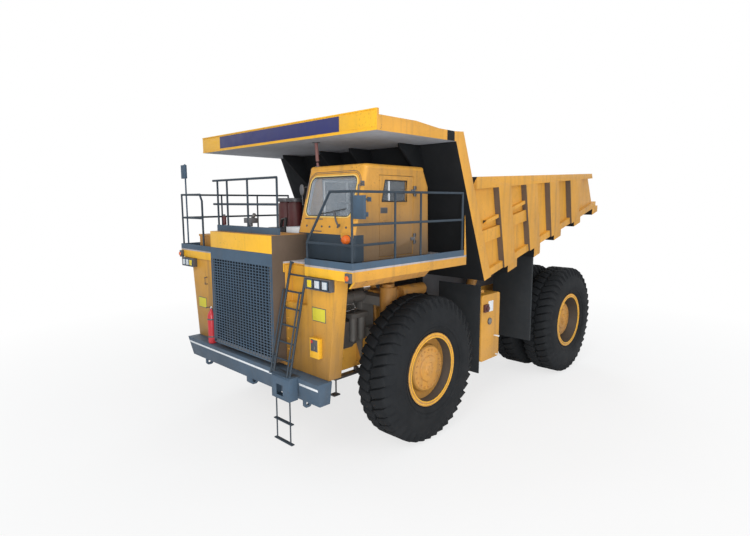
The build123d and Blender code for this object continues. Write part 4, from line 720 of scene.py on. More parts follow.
def post_front(m: Vector, n: Vector) -> bool:
    """Tells whether a face is the forward edge of a headboard's side post, which takes painted shade."""
    return n.y < -0.3 and abs(m.x) > POST_X and abs(m.y - head_station(m.z)) < 0.2 and m.z < 5.7


def canopy_shadow_band(m: Vector, n: Vector) -> bool:
    """Tells whether a face is in the upright band on the canopy's side that carries a painted shadow."""
    return abs(m.x) > WALL_X and abs(n.x) > 0.5 and CANOPY_SHADOW_BAND[0] < m.y < CANOPY_SHADOW_BAND[1]


def body_inside(m: Vector, n: Vector) -> bool:
    """Tells whether a face looks into the load space."""
    station, z = HEAD_EDGE[1]
    floor = z + (m.y - station) * FLOOR_SLOPE
    inner = abs(m.x) < WALL_X
    return m.y > head_station(m.z) and m.z > floor and (
        n.z > 0.6 and inner or n.x * m.x < -0.2 or n.y > 0.5 and inner
    )


def wheel_radius(m: Vector) -> float:
    """Gives a point's distance from the nearer axle's line."""
    return math.hypot(m.y - (REAR_STATION if m.y > 3 else 0), m.z - AXLE_Z)


def rim_well(m: Vector, n: Vector) -> bool:
    """Tells whether a face is on the inner barrel of a rim, which takes painted shade and grease."""
    return abs(n.x) < 0.7 and wheel_radius(m) > 0.5 and abs(m.x) > 2.0


RIM_RULES: tuple[Rule, ...] = (
    (RIM_DISC, lambda m, n: DISC_RADII[0] < wheel_radius(m) < DISC_RADII[1]),
    (RIM_WELL, rim_well),
)
CUTS: dict[str, tuple[tuple[int, float], ...]] = {
    # axis (0 for X, 1 for the station, 2 for Z) and place of each plane that parts two finishes
    "deck": ((2, DECK_TOP_Z - DECK_PLATE), (2, DECK_TOP_Z)),
    "cab_shell": ((1, CAB_FRONT_STATION + WRAP), (2, CAB_WAIST_Z)),
    "ladder": ((2, BUMPER_TOP_Z),),
    "radiator_housing": ((2, HEADER_Z[1]),),
    "canopy": ((1, CANOPY_SHADOW_BAND[0]), (1, CANOPY_SHADOW_BAND[1])),
}
COATS: dict[str, tuple[Finish, Sequence[Rule], float]] = {
    "frame": (
        YELLOW,
        (
            (CAST, lambda m, n: m.z > FRAME_TOP_Z and -0.8 < m.y < 0.7),
            # painted light: the rails' outer sides in a brighter yellow
            (RAIL_LIT, lambda m, n: abs(n.x) > 0.5 and abs(m.x) > 0.5 and m.z < FRAME_TOP_Z and m.y < 0.5),
            (TRIM, lambda m, n: n.z > 0.5 and abs(m.x) > 0.4 and 1.4 < m.z < FRAME_TOP_Z and m.y < 0.5),
        ),
        0.006,
    ),
    "bumper": (TRIM, (), 0.010),
    "radiator_housing": (
        YELLOW_WORN,
        (
            # painted light: the front face above the header in a brighter yellow
            (YELLOW_LIT, lambda m, n: m.y < GRILLE_STATION and n.y < -0.5 and m.z > HEADER_Z[1]),
            (TRIM, lambda m, n: m.y < GRILLE_STATION and n.y < -0.5 and m.z <= HEADER_Z[1]),
            # painted shade: brown on the outer sides, near black on faces that look inward and on low upward
            # faces
            (SHADE_BROWN, lambda m, n: abs(n.x) > 0.5 and abs(m.x) > 0.9),
            (SHADE_DARK, lambda m, n: n.x * m.x < -0.3 or n.z > 0.5 and m.z < 2.2),
        ),
        0.008,
    ),
    # the radiator in near black: a dark core, with painted shade
    "radiator": (SHADE_DARK, (), 0.0),
    "hood": (YELLOW_WORN, ((DECK_TOP, lambda m, n: n.z > 0.8),), 0.008),
    "engine": (CAST, (), 0.006),
    "driveline": (CAST, (), 0.006),
    "front_panels": (PANEL, (), 0.008),
    "deck": (
        YELLOW,
        (
            # painted shade: faces that look down and the low parts in the darker worn yellow, which also
            # carries wear
            (YELLOW_WORN, lambda m, n: down(n) or m.z < 3.22),
            # painted light: the front faces in a brighter yellow
            (YELLOW_LIT, lambda m, n: n.y < -0.5 and m.y < -2.1),
            (DECK_TOP, lambda m, n: DECK_TOP_Z - DECK_PLATE < m.z < DECK_TOP_Z + 0.01),
            (TRIM, lambda m, n: m.z > DECK_TOP_Z + 0.01),
        ),
        0.006,
    ),
    "deck_supports": (YELLOW_WORN, (), 0.006),
    "handrails": (TRIM_DARK, ((TRIM, lambda m, n: m.z < 3.985 and abs(m.x) < 1.15 and m.y < -2.0),), 0.0),
    "ladder": (TRIM_DARK, ((TRIM, lambda m, n: 1.24 < m.z < 1.63 and m.y < -2.42),), 0.003),
    "cab_shell": (
        YELLOW,
        (
            # painted shade: the side faces in the darker cab yellow
            (CAB_SIDE, lambda m, n: abs(n.x) > 0.9),
            (TRIM_DARK, cab_skirt),
            (DARK, lambda m, n: m.x > CAB_SIDE_X + 0.002),
            (INTERIOR, in_cab),
        ),
        0.0,
    ),
    "cab_roof": (YELLOW, (), 0.0),
    "struts": (YELLOW_WORN, (), 0.004),
    "rear_axle": (YELLOW_WORN, (), 0.006),
    "cab_glass": (GLASS, ((SCREEN, lambda m, n: m.y < -1.2),), 0.0),
    "cab_interior": (INTERIOR_DARK, ((SEAT, lambda m, n: m.y > -0.95),), 0.006),
    "mirrors": (TRIM, (), 0.004),
    "lamps": (DARK, (), 0.004),
    "air_cleaners": (MAROON, ((DARK, lambda m, n: m.z > 4.40),), 0.006),
    "battery_box": (YELLOW_WORN, (), 0.008),
    "fuel_tank": (YELLOW, (), 0.006),
    "oil_tanks": (YELLOW_WORN, (), 0.006),
    "mudguards": (FLAP, ((TRIM, lambda m, n: n.z > 0.8),), 0.004),
    "body_flaps": (FLAP, (), 0.004),
    "dump_body": (
        YELLOW,
        (
            # painted shade on the front wall, the underside, the ribs' forward faces and the posts' forward
            # edges
            (DARK, lambda m, n: abs(m.x) < 0.66 and m.z < 2.8), (SHADE_DARK, body_shade), (LINER, body_inside),
            (SHADE_BROWN, rib_front), (SHADE_DARK, post_front),
        ),
        0.008,
    ),
    "canopy": (
        YELLOW_WORN,
        (
            (YELLOW, lambda m, n: abs(n.x) > 0.5),
            # painted light: the front face in a brighter yellow
            (YELLOW_LIT, lambda m, n: n.y < -0.5 and m.y < -1.6),
            (CANOPY_LIGHT, lambda m, n: down(n) and m.z < 5.47),
            # painted shade: the gussets under the canopy and the band on its sides in near black
            (SHADE_DARK, lambda m, n: m.z < 5.4505),
            (SHADE_DARK, canopy_shadow_band),
        ),
        0.006,
    ),
    "cab_door": (
        # the door in the cab side's painted-shade yellow
        CAB_SIDE,
        ((DARK, lambda m, n: m.x > CAB_SIDE_X + 0.002), (INTERIOR, lambda m, n: n.x < -0.5)),
        0.004,
    ),
    "door_glass": (GLASS, (), 0.0),
    "tie_rod": (CAST, (), 0.0),
}
SIDE_COATS: dict[str, tuple[Finish, Sequence[Rule], float]] = {
    "knuckle": (YELLOW_WORN, (), 0.006),
    "front_rim": (RIM, RIM_RULES, 0.004),
    "rear_rims": (RIM, RIM_RULES, 0.004),
    "hoist_barrel": (YELLOW_WORN, (), 0.005),
    "hoist_rod": (CHROME, (), 0.0),
}


# Small parts


class GeometryTree(NodeTree):
    """A geometry node tree with named inputs, which runs once and gives a plain mesh."""

    def __init__(self, name: str, inputs: Sequence[tuple[str, str]]) -> None:
        """Adds the tree with its inputs.

        Args:
            name: The tree's name.
            inputs: Each input's name and kind of value.
        """
        super().__init__(bpy.data.node_groups.new(name, "GeometryNodeTree"))
        face = self.tree.interface
        face.new_socket("Geometry", in_out="OUTPUT", socket_type="NodeSocketGeometry")
        for label, kind in inputs:
            face.new_socket(label, in_out="INPUT", socket_type=f"NodeSocket{kind}")
        self.inputs = self.node("NodeGroupInput").outputs

    def scaled(self, label: str, factor: float) -> Socket:
        """Gives an input times a factor."""
        return self.maths("MULTIPLY", self.inputs[label], factor)

    def line(self, count: str, span: str, across: str) -> Socket:
        """Adds points along an axis, centred on the origin, from the inputs for their number and spread."""
        line = self.node("GeometryNodeMeshLine", {"Count": self.inputs[count]})
        line.mode = "END_POINTS"
        for end, share in (("Start Location", -0.5), ("Offset", 0.5)):
            point = self.node("ShaderNodeCombineXYZ", {across: self.scaled(span, share)})
            self.fill(line, {end: point.outputs[0]})
        return line.outputs["Mesh"]

    def spread(self, points: Socket, instance: Socket) -> bpy.types.Node:
        """Adds the node that sets a copy on each point."""
        return self.node("GeometryNodeInstanceOnPoints", {"Points": points, "Instance": instance})

    def close(self, geometry: Socket, paint: bool = True) -> None:
        """Makes copies real, gives them the Material input where asked, and ends the tree."""
        geometry = self.node("GeometryNodeRealizeInstances", {0: geometry}).outputs[0]
        if paint:
            painted = {"Geometry": geometry, "Material": self.inputs["Material"]}
            geometry = self.node("GeometryNodeSetMaterial", painted).outputs[0]
        self.node("NodeGroupOutput", {0: geometry})

    def run(self, values: dict[str, object], base: bpy.types.Mesh | None = None) -> bpy.types.Mesh:
        """Runs the tree.

        Args:
            values: Values for its inputs, by name.
            base: The mesh that goes into its geometry input, if it has one.

        Returns:
            The result as a plain mesh.
        """
        holder = bpy.data.objects.new("repeat", base or bpy.data.meshes.new("repeat"))
        bpy.context.scene.collection.objects.link(holder)
        modifier = holder.modifiers.new("repeat", "NODES")
        modifier.node_group = self.tree
        for item in self.tree.interface.items_tree:
            if item.in_out == "INPUT" and item.name in values:
                modifier[item.identifier] = values[item.name]
        whole = bpy.data.meshes.new_from_object(holder.evaluated_get(bpy.context.evaluated_depsgraph_get()))
        bpy.data.objects.remove(holder)
        return whole


class BoltTree(GeometryTree):
    """A geometry node tree that sets bolts on washers round a circle or along X."""

    # sides, radius and height of the head and the washer, in bolt sizes
    STEPS = ((6, 1.0, 0.9), (18, 1.55, 0.35))

    def __init__(self, name: str, ring: bool) -> None:
        """Builds the tree.

        Args:
            name: The tree's name.
            ring: Whether the bolts stand round a circle, or else along X.
        """
        inputs = (("Count", "Int"), ("Span", "Float"), ("Size", "Float"), ("Material", "Material"))
        super().__init__(name, inputs)
        points = self.circle() if ring else self.line("Count", "Span", "X")
        join = self.node("GeometryNodeJoinGeometry")
        for sides, wide, tall in self.STEPS:
            self.fill(join, {0: self.cylinder(sides, wide, tall)})
        self.close(self.spread(points, join.outputs[0]).outputs[0])

    def cylinder(self, sides: int, wide: float, tall: float) -> Socket:
        """Adds a cylinder that rises above the ground plane and goes as far below it, in bolt sizes."""
        sizes = {"Radius": self.scaled("Size", wide), "Depth": self.scaled("Size", 2 * tall)}
        return self.node("GeometryNodeMeshCylinder", {"Vertices": sides, **sizes}).outputs["Mesh"]

    def circle(self) -> Socket:
        """Adds points round a circle."""
        sizes = {"Vertices": self.inputs["Count"], "Radius": self.inputs["Span"]}
        return self.node("GeometryNodeMeshCircle", sizes).outputs["Mesh"]


@dataclass
class Bolts:
    """Sets rings and rows of bolts on shapes."""

    ring_tree: BoltTree = field(default_factory=lambda: BoltTree("bolt_ring", True))
    row_tree: BoltTree = field(default_factory=lambda: BoltTree("bolt_row", False))

    def ring(
        self, shape: Shape, centre: Vector, axis: Vector, count: int, radius: float, size: float,
        finish: Finish,
    ) -> None:
        """Adds a ring of bolts that look along an axis."""
        values = {"Count": count, "Span": radius, "Size": size, "Material": finish.material()}
        place = Matrix.Translation(centre) @ turned(axis).to_4x4()
        shape.take(self.ring_tree.run(values), finish, place)

    def row(self, shape: Shape, start: Point, end: Point, count: int, size: float, finish: Finish) -> None:
        """Adds a row of bolts that look forward, between two points given as X, station and Z."""
        first, last = at(*start), at(*end)
        along = (last - first).normalized()
        turn = Matrix((along, (-BACK).cross(along).normalized(), -BACK)).transposed().to_4x4()
        values = {"Count": count, "Span": (last - first).length, "Size": size, "Material": finish.material()}
        shape.take(self.row_tree.run(values), finish, Matrix.Translation((first + last) / 2) @ turn)


class BarTree(GeometryTree):
    """A geometry node tree that crosses two rows of flat bars into a grille."""

    THIN = 0.8  # depth of the level bars as a share of the upright bars' depth

    def __init__(self) -> None:
        """Builds the tree."""
        sizes = tuple((label, "Float") for label in ("Width", "Height", "Bar", "Depth"))
        inputs = (("Columns", "Int"), ("Rows", "Int"), *sizes, ("Material", "Material"))
        super().__init__("grille_bars", inputs)
        join = self.node("GeometryNodeJoinGeometry")
        self.fill(join, {0: self.bars("Columns", "Width", "X", "Height", "Z", 1.0)})
        self.fill(join, {0: self.bars("Rows", "Height", "Z", "Width", "X", self.THIN)})
        self.close(join.outputs[0])

    def bars(self, count: str, span: str, across: str, length: str, along: str, deep: float) -> Socket:
        """Adds one row of bars.

        Args:
            count: The input with the number of bars.
            span: The input with the width that they spread over.
            across: The axis that they spread along.
            length: The input with their length.
            along: The axis that they run along.
            deep: Their depth as a share of the input.

        Returns:
            The row's geometry.
        """
        sides = {across: self.inputs["Bar"], along: self.inputs[length], "Y": self.scaled("Depth", deep)}
        size = self.node("ShaderNodeCombineXYZ", sides).outputs[0]
        cube = self.node("GeometryNodeMeshCube", {"Size": size}).outputs["Mesh"]
        return self.spread(self.line(count, span, across), cube).outputs[0]


class RoundTree(GeometryTree):
    """A geometry node tree that repeats a mesh round the X axis."""

    def __init__(self) -> None:
        """Builds the tree."""
        super().__init__("round_row", (("Lug", "Geometry"), ("Count", "Int"), ("Phase", "Float")))
        line = self.node("GeometryNodeMeshLine", {"Offset": (0, 0, 0), "Count": self.inputs["Count"]})
        angle = self.node("GeometryNodeInputIndex").outputs[0]
        steps = (("ADD", self.inputs["Phase"]), ("DIVIDE", self.inputs["Count"]), ("MULTIPLY", 2 * math.pi))
        for operation, other in steps:
            angle = self.maths(operation, angle, other)
        spread = self.spread(line.outputs["Mesh"], self.inputs["Lug"])
        self.fill(spread, {"Rotation": self.node("ShaderNodeCombineXYZ", {"X": angle}).outputs[0]})
        self.close(spread.outputs[0], False)


@dataclass
class Grille:
    """The fine crossed bars in the radiator housing's mouth, with their frame."""

    columns: int = 22
    rows: int = 33
    half: float = 0.968
    outer: float = 0.995
    mouth: float = 0.915
    low: float = 1.735
    sill: float = 1.717
    high: float = 3.35
    face: float = -2.436
    bar: float = 0.0145
    depth: float = 0.012

    def build(self) -> None:
        """Adds the bars in place of the plain grille."""
        shape = Shape("grille_bars")
        values = {
            "Columns": self.columns, "Rows": self.rows, "Bar": self.bar, "Depth": self.depth,
            "Width": 2 * self.half, "Height": self.high - self.low, "Material": TRIM.material(),
        }
        middle = at(0, self.face + self.depth / 2, (self.low + self.high) / 2)
        shape.take(BarTree().run(values), TRIM, Matrix.Translation(middle))
        front, back = self.face + 0.0045, self.face + 0.007
        shape.boxes((
            ((-self.outer, self.face, self.high), (self.outer, back, HEADER_Z[1]), TRIM),
            ((-self.outer, self.face, self.sill), (self.outer, back, self.low + 0.004), TRIM),
            ((-self.half, front, self.low), (self.half, back, 1.80), DARK),
        ))
        for side in Side:
            for inner, outer, station, finish in (
                (self.half, self.outer, self.face, TRIM), (self.mouth, self.half, front, DARK)
            ):
                low, high = sorted((side.value * inner, side.value * outer))
                shape.box(at(low, station, self.sill), at(high, back, self.high), finish)
        shape.done("chassis", 0.0, replaces=["grille"])


@dataclass
class FrontTrim:
    """Stripe, plates, bolts, lamps, extinguisher and steps on the truck's front."""

    bolts: Bolts
    housing_front: float = -2.43
    panel: float = -2.183
    stripe: tuple[float, float] = (1.492, 1.532)
    lift: tuple[float, float] = (0.003, -0.004)
    bumper_front: float = -2.432
    bumper_height: float = 0.387
    bumper_lean: float = 0.079
    lamp_depth: float = 0.098
    switch_depth: float = 0.075
    plates: tuple[tuple[float, float, float, float], ...] = (
        (1.70, 2.03, 2.53, 2.755), (-2.05, -1.72, 2.22, 2.44)
    )
    lamp_boxes: tuple[tuple[float, float, float, float], ...] = (
        (1.64, 2.24, 3.05, 3.235), (-2.54, -2.05, 3.06, 3.235)
    )

    def bumper_station(self, z: float) -> float:
        """Gives the station of the bumper's leaning front face at a height."""
        return self.bumper_front + (BUMPER_TOP_Z - z) / self.bumper_height * self.bumper_lean

    def stripe_part(self, shape: Shape, low_x: float, high_x: float) -> None:
        """Adds a stretch of the bumper's pale stripe."""
        (low, high), (out, sunk) = self.stripe, self.lift
        corners = ((low, out), (high, out), (high, sunk), (low, sunk))
        outline = [at(low_x, self.bumper_station(z) - lift, z) for z, lift in corners]
        shape.prism(outline, Vector((high_x - low_x, 0, 0)), WHITE)

    def blank_plate(self, shape: Shape, low_x: float, high_x: float, low_z: float, high_z: float) -> None:
        """Adds a blank plate with a thin dark border."""
        edge = 0.012
        shape.boxes((
            ((low_x, self.panel - 0.004, low_z), (high_x, self.panel + 0.002, high_z), DARK),
            (
                (low_x + edge, self.panel - 0.006, low_z + edge), (high_x - edge, self.panel, high_z - edge),
                SIGN_YELLOW,
            ),
        ))

    def lamp_lenses(self) -> None:
        """Adds square lenses in the two lamp boxes, yellow inboard and clear outboard."""
        shape = Shape("headlamp_lenses")
        front = self.panel - self.lamp_depth
        for low_x, high_x, low_z, high_z in self.lamp_boxes:
            z = (low_z + high_z) / 2
            for step, share in enumerate((0.2, 0.5, 0.8)):
                x = low_x + (high_x - low_x) * share
                inboard = step == (0 if low_x > 0 else 2)
                lens = LAMP_YELLOW if inboard else LAMP_CLEAR
                for half, near, far, finish in ((0.064, 0, 0.012, TRIM), (0.052, -0.006, 0.004, lens)):
                    low = at(x - half, front + near, z - half - 0.004)
                    shape.box(low, at(x + half, front + far, z + half + 0.004), finish)
        for side in Side:
            x = side.value * 2.609
            shape.rod(at(x, -2.2802, 3.305), at(x, -2.294, 3.305), 0.042, LAMP_ORANGE, 0.032)
        shape.done("chassis", 0.003)

    def extinguisher(self) -> None:
        """Adds the red extinguisher that stands on the bumper."""
        shape = Shape("extinguisher")
        x, station = -1.27, -2.33
        foot = at(x, station, BUMPER_TOP_Z)
        profile = (
            (0, 0.01), (0, 0.07), (0.02, 0.078), (0.56, 0.078), (0.63, 0.05), (0.66, 0.028), (0.70, 0.028),
            (0.70, 0.01),
        )
        shape.lathe(profile, foot, UP, RED)
        shape.rod(at(x, station, 2.29), at(x, station, 2.35), 0.022, CHROME)
        shape.box(at(x - 0.012, station - 0.11, 2.335), at(x + 0.012, station + 0.02, 2.35), DARK)
        hose = ((0, 2.32), (0.07, 2.30), (0.105, 2.2), (0.105, 1.85))
        shape.tube([at(x + out, station, z) for out, z in hose], 0.012, HOSE)
        strap = ((-0.015, 0.079), (-0.015, 0.083), (0.015, 0.083), (0.015, 0.079))
        for z in (1.75, 2.10):
            shape.lathe(strap, at(x, station, z), UP, DARK)
            shape.box(at(x - 0.03, station + 0.07, z - 0.02), at(x + 0.03, self.panel, z + 0.02), DARK)
        shape.done("chassis", 0.002)

    def switch_box(self, shape: Shape) -> None:
        """Adds the yellow box with a dark recess on the left panel."""
        front = self.panel - self.switch_depth
        shape.boxes((
            # the box in the brighter yellow, painted light
            ((1.715, front, 1.95), (1.93, self.panel + 0.002, 2.27), YELLOW_LIT),
            ((1.74, front - 0.004, 2.06), (1.905, front + 0.004, 2.25), DARK),
            ((1.75, front - 0.012, 2.19), (1.79, front - 0.002, 2.235), RED),
            ((1.83, front - 0.02, 2.09), (1.86, front - 0.002, 2.15), STEEL),
        ))

    def low_steps(self) -> None:
        """Adds the small steps that hang behind the left front panel."""
        shape = Shape("low_steps")
        shape.pipe(((0.80, -0.90, 1.06), (0.80, -0.90, 0.70)), 0.016, DARK)
        shape.boxes((
            ((0.72, -1.00, 0.675), (0.86, -0.84, 0.70), DARK),
            ((0.70, -0.95, 0.98), (0.84, -0.10, 1.025), DARK),
            ((0.72, -0.35, 1.02), (0.80, -0.28, 1.10), DARK),
        ))
        shape.done("chassis", 0.002)

    def build(self) -> None:
        """Adds every fitting of the front."""
        shape = Shape("front_trim")
        for span in ((-2.07, 0.86), (1.62, 2.08)):
            self.stripe_part(shape, *span)
        for plate in self.plates:
            self.blank_plate(shape, *plate)
        self.switch_box(shape)
        near, far = self.panel + 0.002, self.panel - 0.05
        handle = ((near, 2.88), (far, 2.88), (far, 2.74), (near, 2.74))
        shape.pipe([(-1.66, station, z) for station, z in handle], 0.012, DARK)
        front = self.housing_front
        for side in Side:
            x = side.value * 0.94
            self.bolts.row(shape, (x, front, 1.8), (x, front, 3.3), 9, 0.011, TRIM)
            x = side.value * 1.06
            self.bolts.row(shape, (x, self.panel, 1.75), (x, self.panel, 2.65), 6, 0.012, YELLOW)
        z = HEADER_Z[0] + 0.05
        self.bolts.row(shape, (-0.9, front - 0.002, z), (0.9, front - 0.002, z), 10, 0.011, TRIM)
        shape.done("chassis", 0.0025)
        self.lamp_lenses()
        self.extinguisher()
        self.low_steps()


@dataclass
class CabTrim:
    """Window lines, wiper, mirror faces, door fittings, aerial and beacon of the cab."""

    screen_x: tuple[float, float] = (0.87, 2.0)
    screen_z: tuple[float, float] = (4.17, 4.81)

    def face(self, x: float, z: float, lift: float = 0.0) -> Vector:
        """Gives a point on the cab's leaning front face, lifted from it."""
        return at(x, CAB_FRONT_STATION + (z - 3.85) / 1.09 * 0.30 - lift, z)

    def screen_loop(self, shape: Shape, out: float, radius: float, finish: Finish, from_z: float) -> None:
        """Adds a round line about the windscreen, closed or open below a height.

        Args:
            shape: The shape that takes the line.
            out: How far outside the windscreen's opening the line runs.
            radius: The line's radius.
            finish: The line's finish.
            from_z: The height where an open line starts, or 0 for a closed one.
        """
        low_x, high_x = self.screen_x[0] - out, self.screen_x[1] + out
        low_z, high_z = self.screen_z[0] - out, self.screen_z[1] + out
        corner = 0.11 + out
        points = []
        for cx, cz, start in (
            (high_x - corner, low_z + corner, 270), (high_x - corner, high_z - corner, 0),
            (low_x + corner, high_z - corner, 90), (low_x + corner, low_z + corner, 180),
        ):
            for step in range(9):
                angle = math.radians(start + step * 90 / 8)
                points.append((cx + corner * math.cos(angle), cz + corner * math.sin(angle)))
        if from_z:
            points = [(high_x, from_z)] + [point for point in points if point[1] > from_z] + [(low_x, from_z)]
        else:
            points.append(points[0])
        shape.tube([self.face(x, z, radius * 0.3) for x, z in points], radius, finish, 8)

    def front(self) -> None:
        """Adds the windscreen's seal and lines, the holes, slots and wiper."""
        shape = Shape("cab_front_trim")
        for out, radius, finish, from_z in (
            (0.004, 0.008, HOSE, 0), (0.020, 0.011, YELLOW_PALE, 0),
            (0.068, 0.0045, DARK, 4.45), (0.092, 0.0045, DARK, 4.45),
        ):
            self.screen_loop(shape, out, radius, finish, from_z)
        for step in range(6):
            point = self.face(0.955 + step * 0.198, 3.99, 0)
            shape.rod(point + Vector((0, 0.01, 0)), point - Vector((0, 0.004, 0)), 0.021, DARK, sides=16)
        for low_x, high_x, z in ((0.88, 1.34, 4.106), (1.16, 1.37, 3.905)):
            shape.box(self.face(low_x, z, 0.005), self.face(high_x, z + 0.016, -0.01), DARK)
        pivot = self.face(1.78, 4.02, 0.03)
        shape.rod(self.face(1.78, 4.02, -0.01), pivot, 0.024, DARK)
        shape.tube([pivot, self.face(1.72, 4.09, 0.04), self.face(1.60, 4.26, 0.022)], 0.015, DARK)
        blade = ((1.24, 4.20, -0.012), (1.58, 4.24, 0.004), (1.84, 4.29, -0.012))
        shape.tube([self.face(*point) for point in blade], 0.008, HOSE)
        shape.done("chassis", 0.0)

    def oval_mirror(self) -> None:
        """Adds the dark oval mirror at the cab's inner front corner."""
        shape = Shape("inner_mirror")
        centre = at(0.70, -1.55, 4.607)
        wide, tall, sides = 0.052, 0.098, 28
        angles = [2 * math.pi * step / sides for step in range(sides)]
        rings = []
        for lift, share in ((0.02, 0.8), (0.01, 1.0), (-0.01, 1.0), (-0.02, 0.85)):
            edge = [(wide * share * math.cos(a), lift, tall * share * math.sin(a)) for a in angles]
            rings.append([centre + Vector(point) for point in edge])
        shape.skin(rings, DARK)
        shape.pipe(((0.72, -1.40, 4.66), (0.69, -1.47, 4.66), (0.70, -1.54, 4.63)), 0.009, DARK)
        shape.pipe(((0.72, -1.46, 4.35), (0.69, -1.53, 4.35), (0.70, -1.55, 4.52)), 0.009, DARK)
        shape.done("chassis", 0.0)

    def side_fittings(self) -> None:
        """Adds the mirror's faces and arm, and the door's divider, plate, latch, gutter and seal."""
        shape = Shape("cab_side_trim")
        shape.boxes((
            ((2.455, -1.726, 4.16), (2.46, -1.7245, 4.48), MIRROR),
            ((2.212, -1.727, 4.155), (2.448, -1.7235, 4.485), MIRROR),
        ))
        arm = ((2.152, -1.49, 4.69), (2.25, -1.60, 4.69), (2.30, -1.72, 4.66), (2.30, -1.735, 4.50))
        shape.pipe(arm, 0.011, DARK)
        shape.box(at(2.148, -1.53, 4.65), at(2.16, -1.45, 4.73), DARK)
        shape.done("chassis", 0.002)
        door = Shape("cab_door_trim")
        door.boxes((
            ((2.118, -0.862, 4.35), (2.144, -0.842, 4.74), WHITE),
            ((2.149, -1.075, 4.21), (2.153, -0.905, 4.306), DARK),
            ((2.1515, -1.063, 4.222), (2.155, -0.917, 4.294), INTERIOR_DARK),
            ((2.149, -1.06, 4.03), (2.157, -0.97, 4.11), CAB_SIDE),
        ))
        latch = ((2.15, -1.04), (2.178, -1.03), (2.178, -0.90), (2.15, -0.89))
        door.pipe([(x, station, 4.07) for x, station in latch], 0.008, CAB_SIDE)
        door.box(at(2.118, -1.055, 4.336), at(2.149, -0.405, 4.403), CAB_SIDE)
        corners = ((-1.040, 4.405), (-0.962, 4.752), (-0.408, 4.752), (-0.408, 4.405), (-1.040, 4.405))
        door.pipe([(2.147, station, z) for station, z in corners], 0.012, HOSE, 8)
        door.done("cab_door", 0.0015)

    def roof(self) -> None:
        """Adds the aerial's base on the roof and the pole's lower end."""
        shape = Shape("cab_aerial")
        shape.rods((
            ((0.785, -1.25, 5.005), (0.785, -1.25, 5.03), 0.045, DARK),
            ((0.785, -1.25, 5.03), (0.779, -1.25, 5.09), 0.022, MAROON_FADED),
        ))
        shape.done("chassis", 0.0)

    def inner_frames(self) -> None:
        """Adds the pale window frames that show inside the cab through its glass."""
        shape = Shape("cab_inner_frames")
        sill, head, inner_x = 4.03, 4.57, 0.80
        rear = ((0.90, sill), (0.90, head), (1.97, head), (1.97, sill), (0.90, sill))
        shape.pipe([(x, 0.02 - (z - sill) * 0.05, z) for x, z in rear], 0.022, WHITE, 8)
        side = ((-1.12, 3.99), (-1.12, 4.77), (0.02, 4.77), (0.02, 3.99), (-1.12, 3.99))
        shape.pipe([(inner_x, station, z) for station, z in side], 0.02, WHITE, 8)
        shape.pipe(((inner_x, -0.55, 3.99), (inner_x, -0.55, 4.77)), 0.018, WHITE, 8)
        shape.pipe(((1.45, 0.0, sill), (1.45, -0.03, head)), 0.018, WHITE, 8)
        shape.done("chassis", 0.0)

    def beacon(self) -> None:
        """Adds the orange round lamp on the cab's lower front corner."""
        shape = Shape("beacon")
        base = at(2.045, -1.70, 3.81)
        shape.box(at(1.875, -1.716, 3.83), at(2.145, -1.69, 3.905), YELLOW)
        shape.rod(base, base - 0.035 * BACK, 0.075, DARK)
        profile = ((0.03, 0.004), (0.03, 0.07), (0.06, 0.075), (0.10, 0.066), (0.13, 0.04), (0.14, 0.004))
        shape.lathe(profile, base, -BACK, LAMP_ORANGE)
        shape.done("chassis", 0.0)

    def build(self) -> None:
        """Adds every fitting of the cab."""
        self.front()
        self.oval_mirror()
        self.side_fittings()
        self.roof()
        self.beacon()
        self.inner_frames()


@dataclass
class BodyTrim:
    """Plates, strips and the pole's head on the canopy, and wide plates on the dump body's sides."""

    front: float = -1.641

    def build(self) -> None:
        """Adds every fitting of the dump body."""
        shape = Shape("canopy_trim")
        # the yellow plate and the strips on the canopy's front in the brighter yellow, painted light
        for low_x, high_x, finish in ((-1.88, 1.785, BLUE_PLATE), (1.80, 2.58, YELLOW_LIT)):
            shape.box(at(low_x, self.front - 0.006, 5.50), at(high_x, self.front + 0.002, 5.735), finish)
        for low_z in (5.752, 5.452):
            low = at(-2.6, self.front - 0.012, low_z)
            shape.box(low, at(2.6, self.front + 0.002, low_z + 0.018), YELLOW_LIT)
        shape.rod(at(0.777, -1.25, 5.115), at(0.745, -1.25, 5.445), 0.03, MAROON_FADED)
        shape.box(at(0.69, -1.30, 5.436), at(0.80, -1.20, 5.449), DARK)
        for side in Side:
            self.side_plates(shape, side.value)
        shape.done("dump_body", 0.002)

    def side_plates(self, shape: Shape, side: int) -> None:
        """Adds the wide plates between the first ribs on the side with a sign of X."""
        bays = (
            ((1.22, 3.795), (2.24, 3.95), (2.26, 3.705), (1.24, 3.548)),
            ((2.48, 4.09), (3.34, 4.247), (3.36, 4.0), (2.50, 3.875)),
        )
        for outline in bays:
            corners = [at(side * 2.465, station, z) for station, z in outline]
            shape.prism(corners, side * 0.09 * ACROSS, YELLOW)


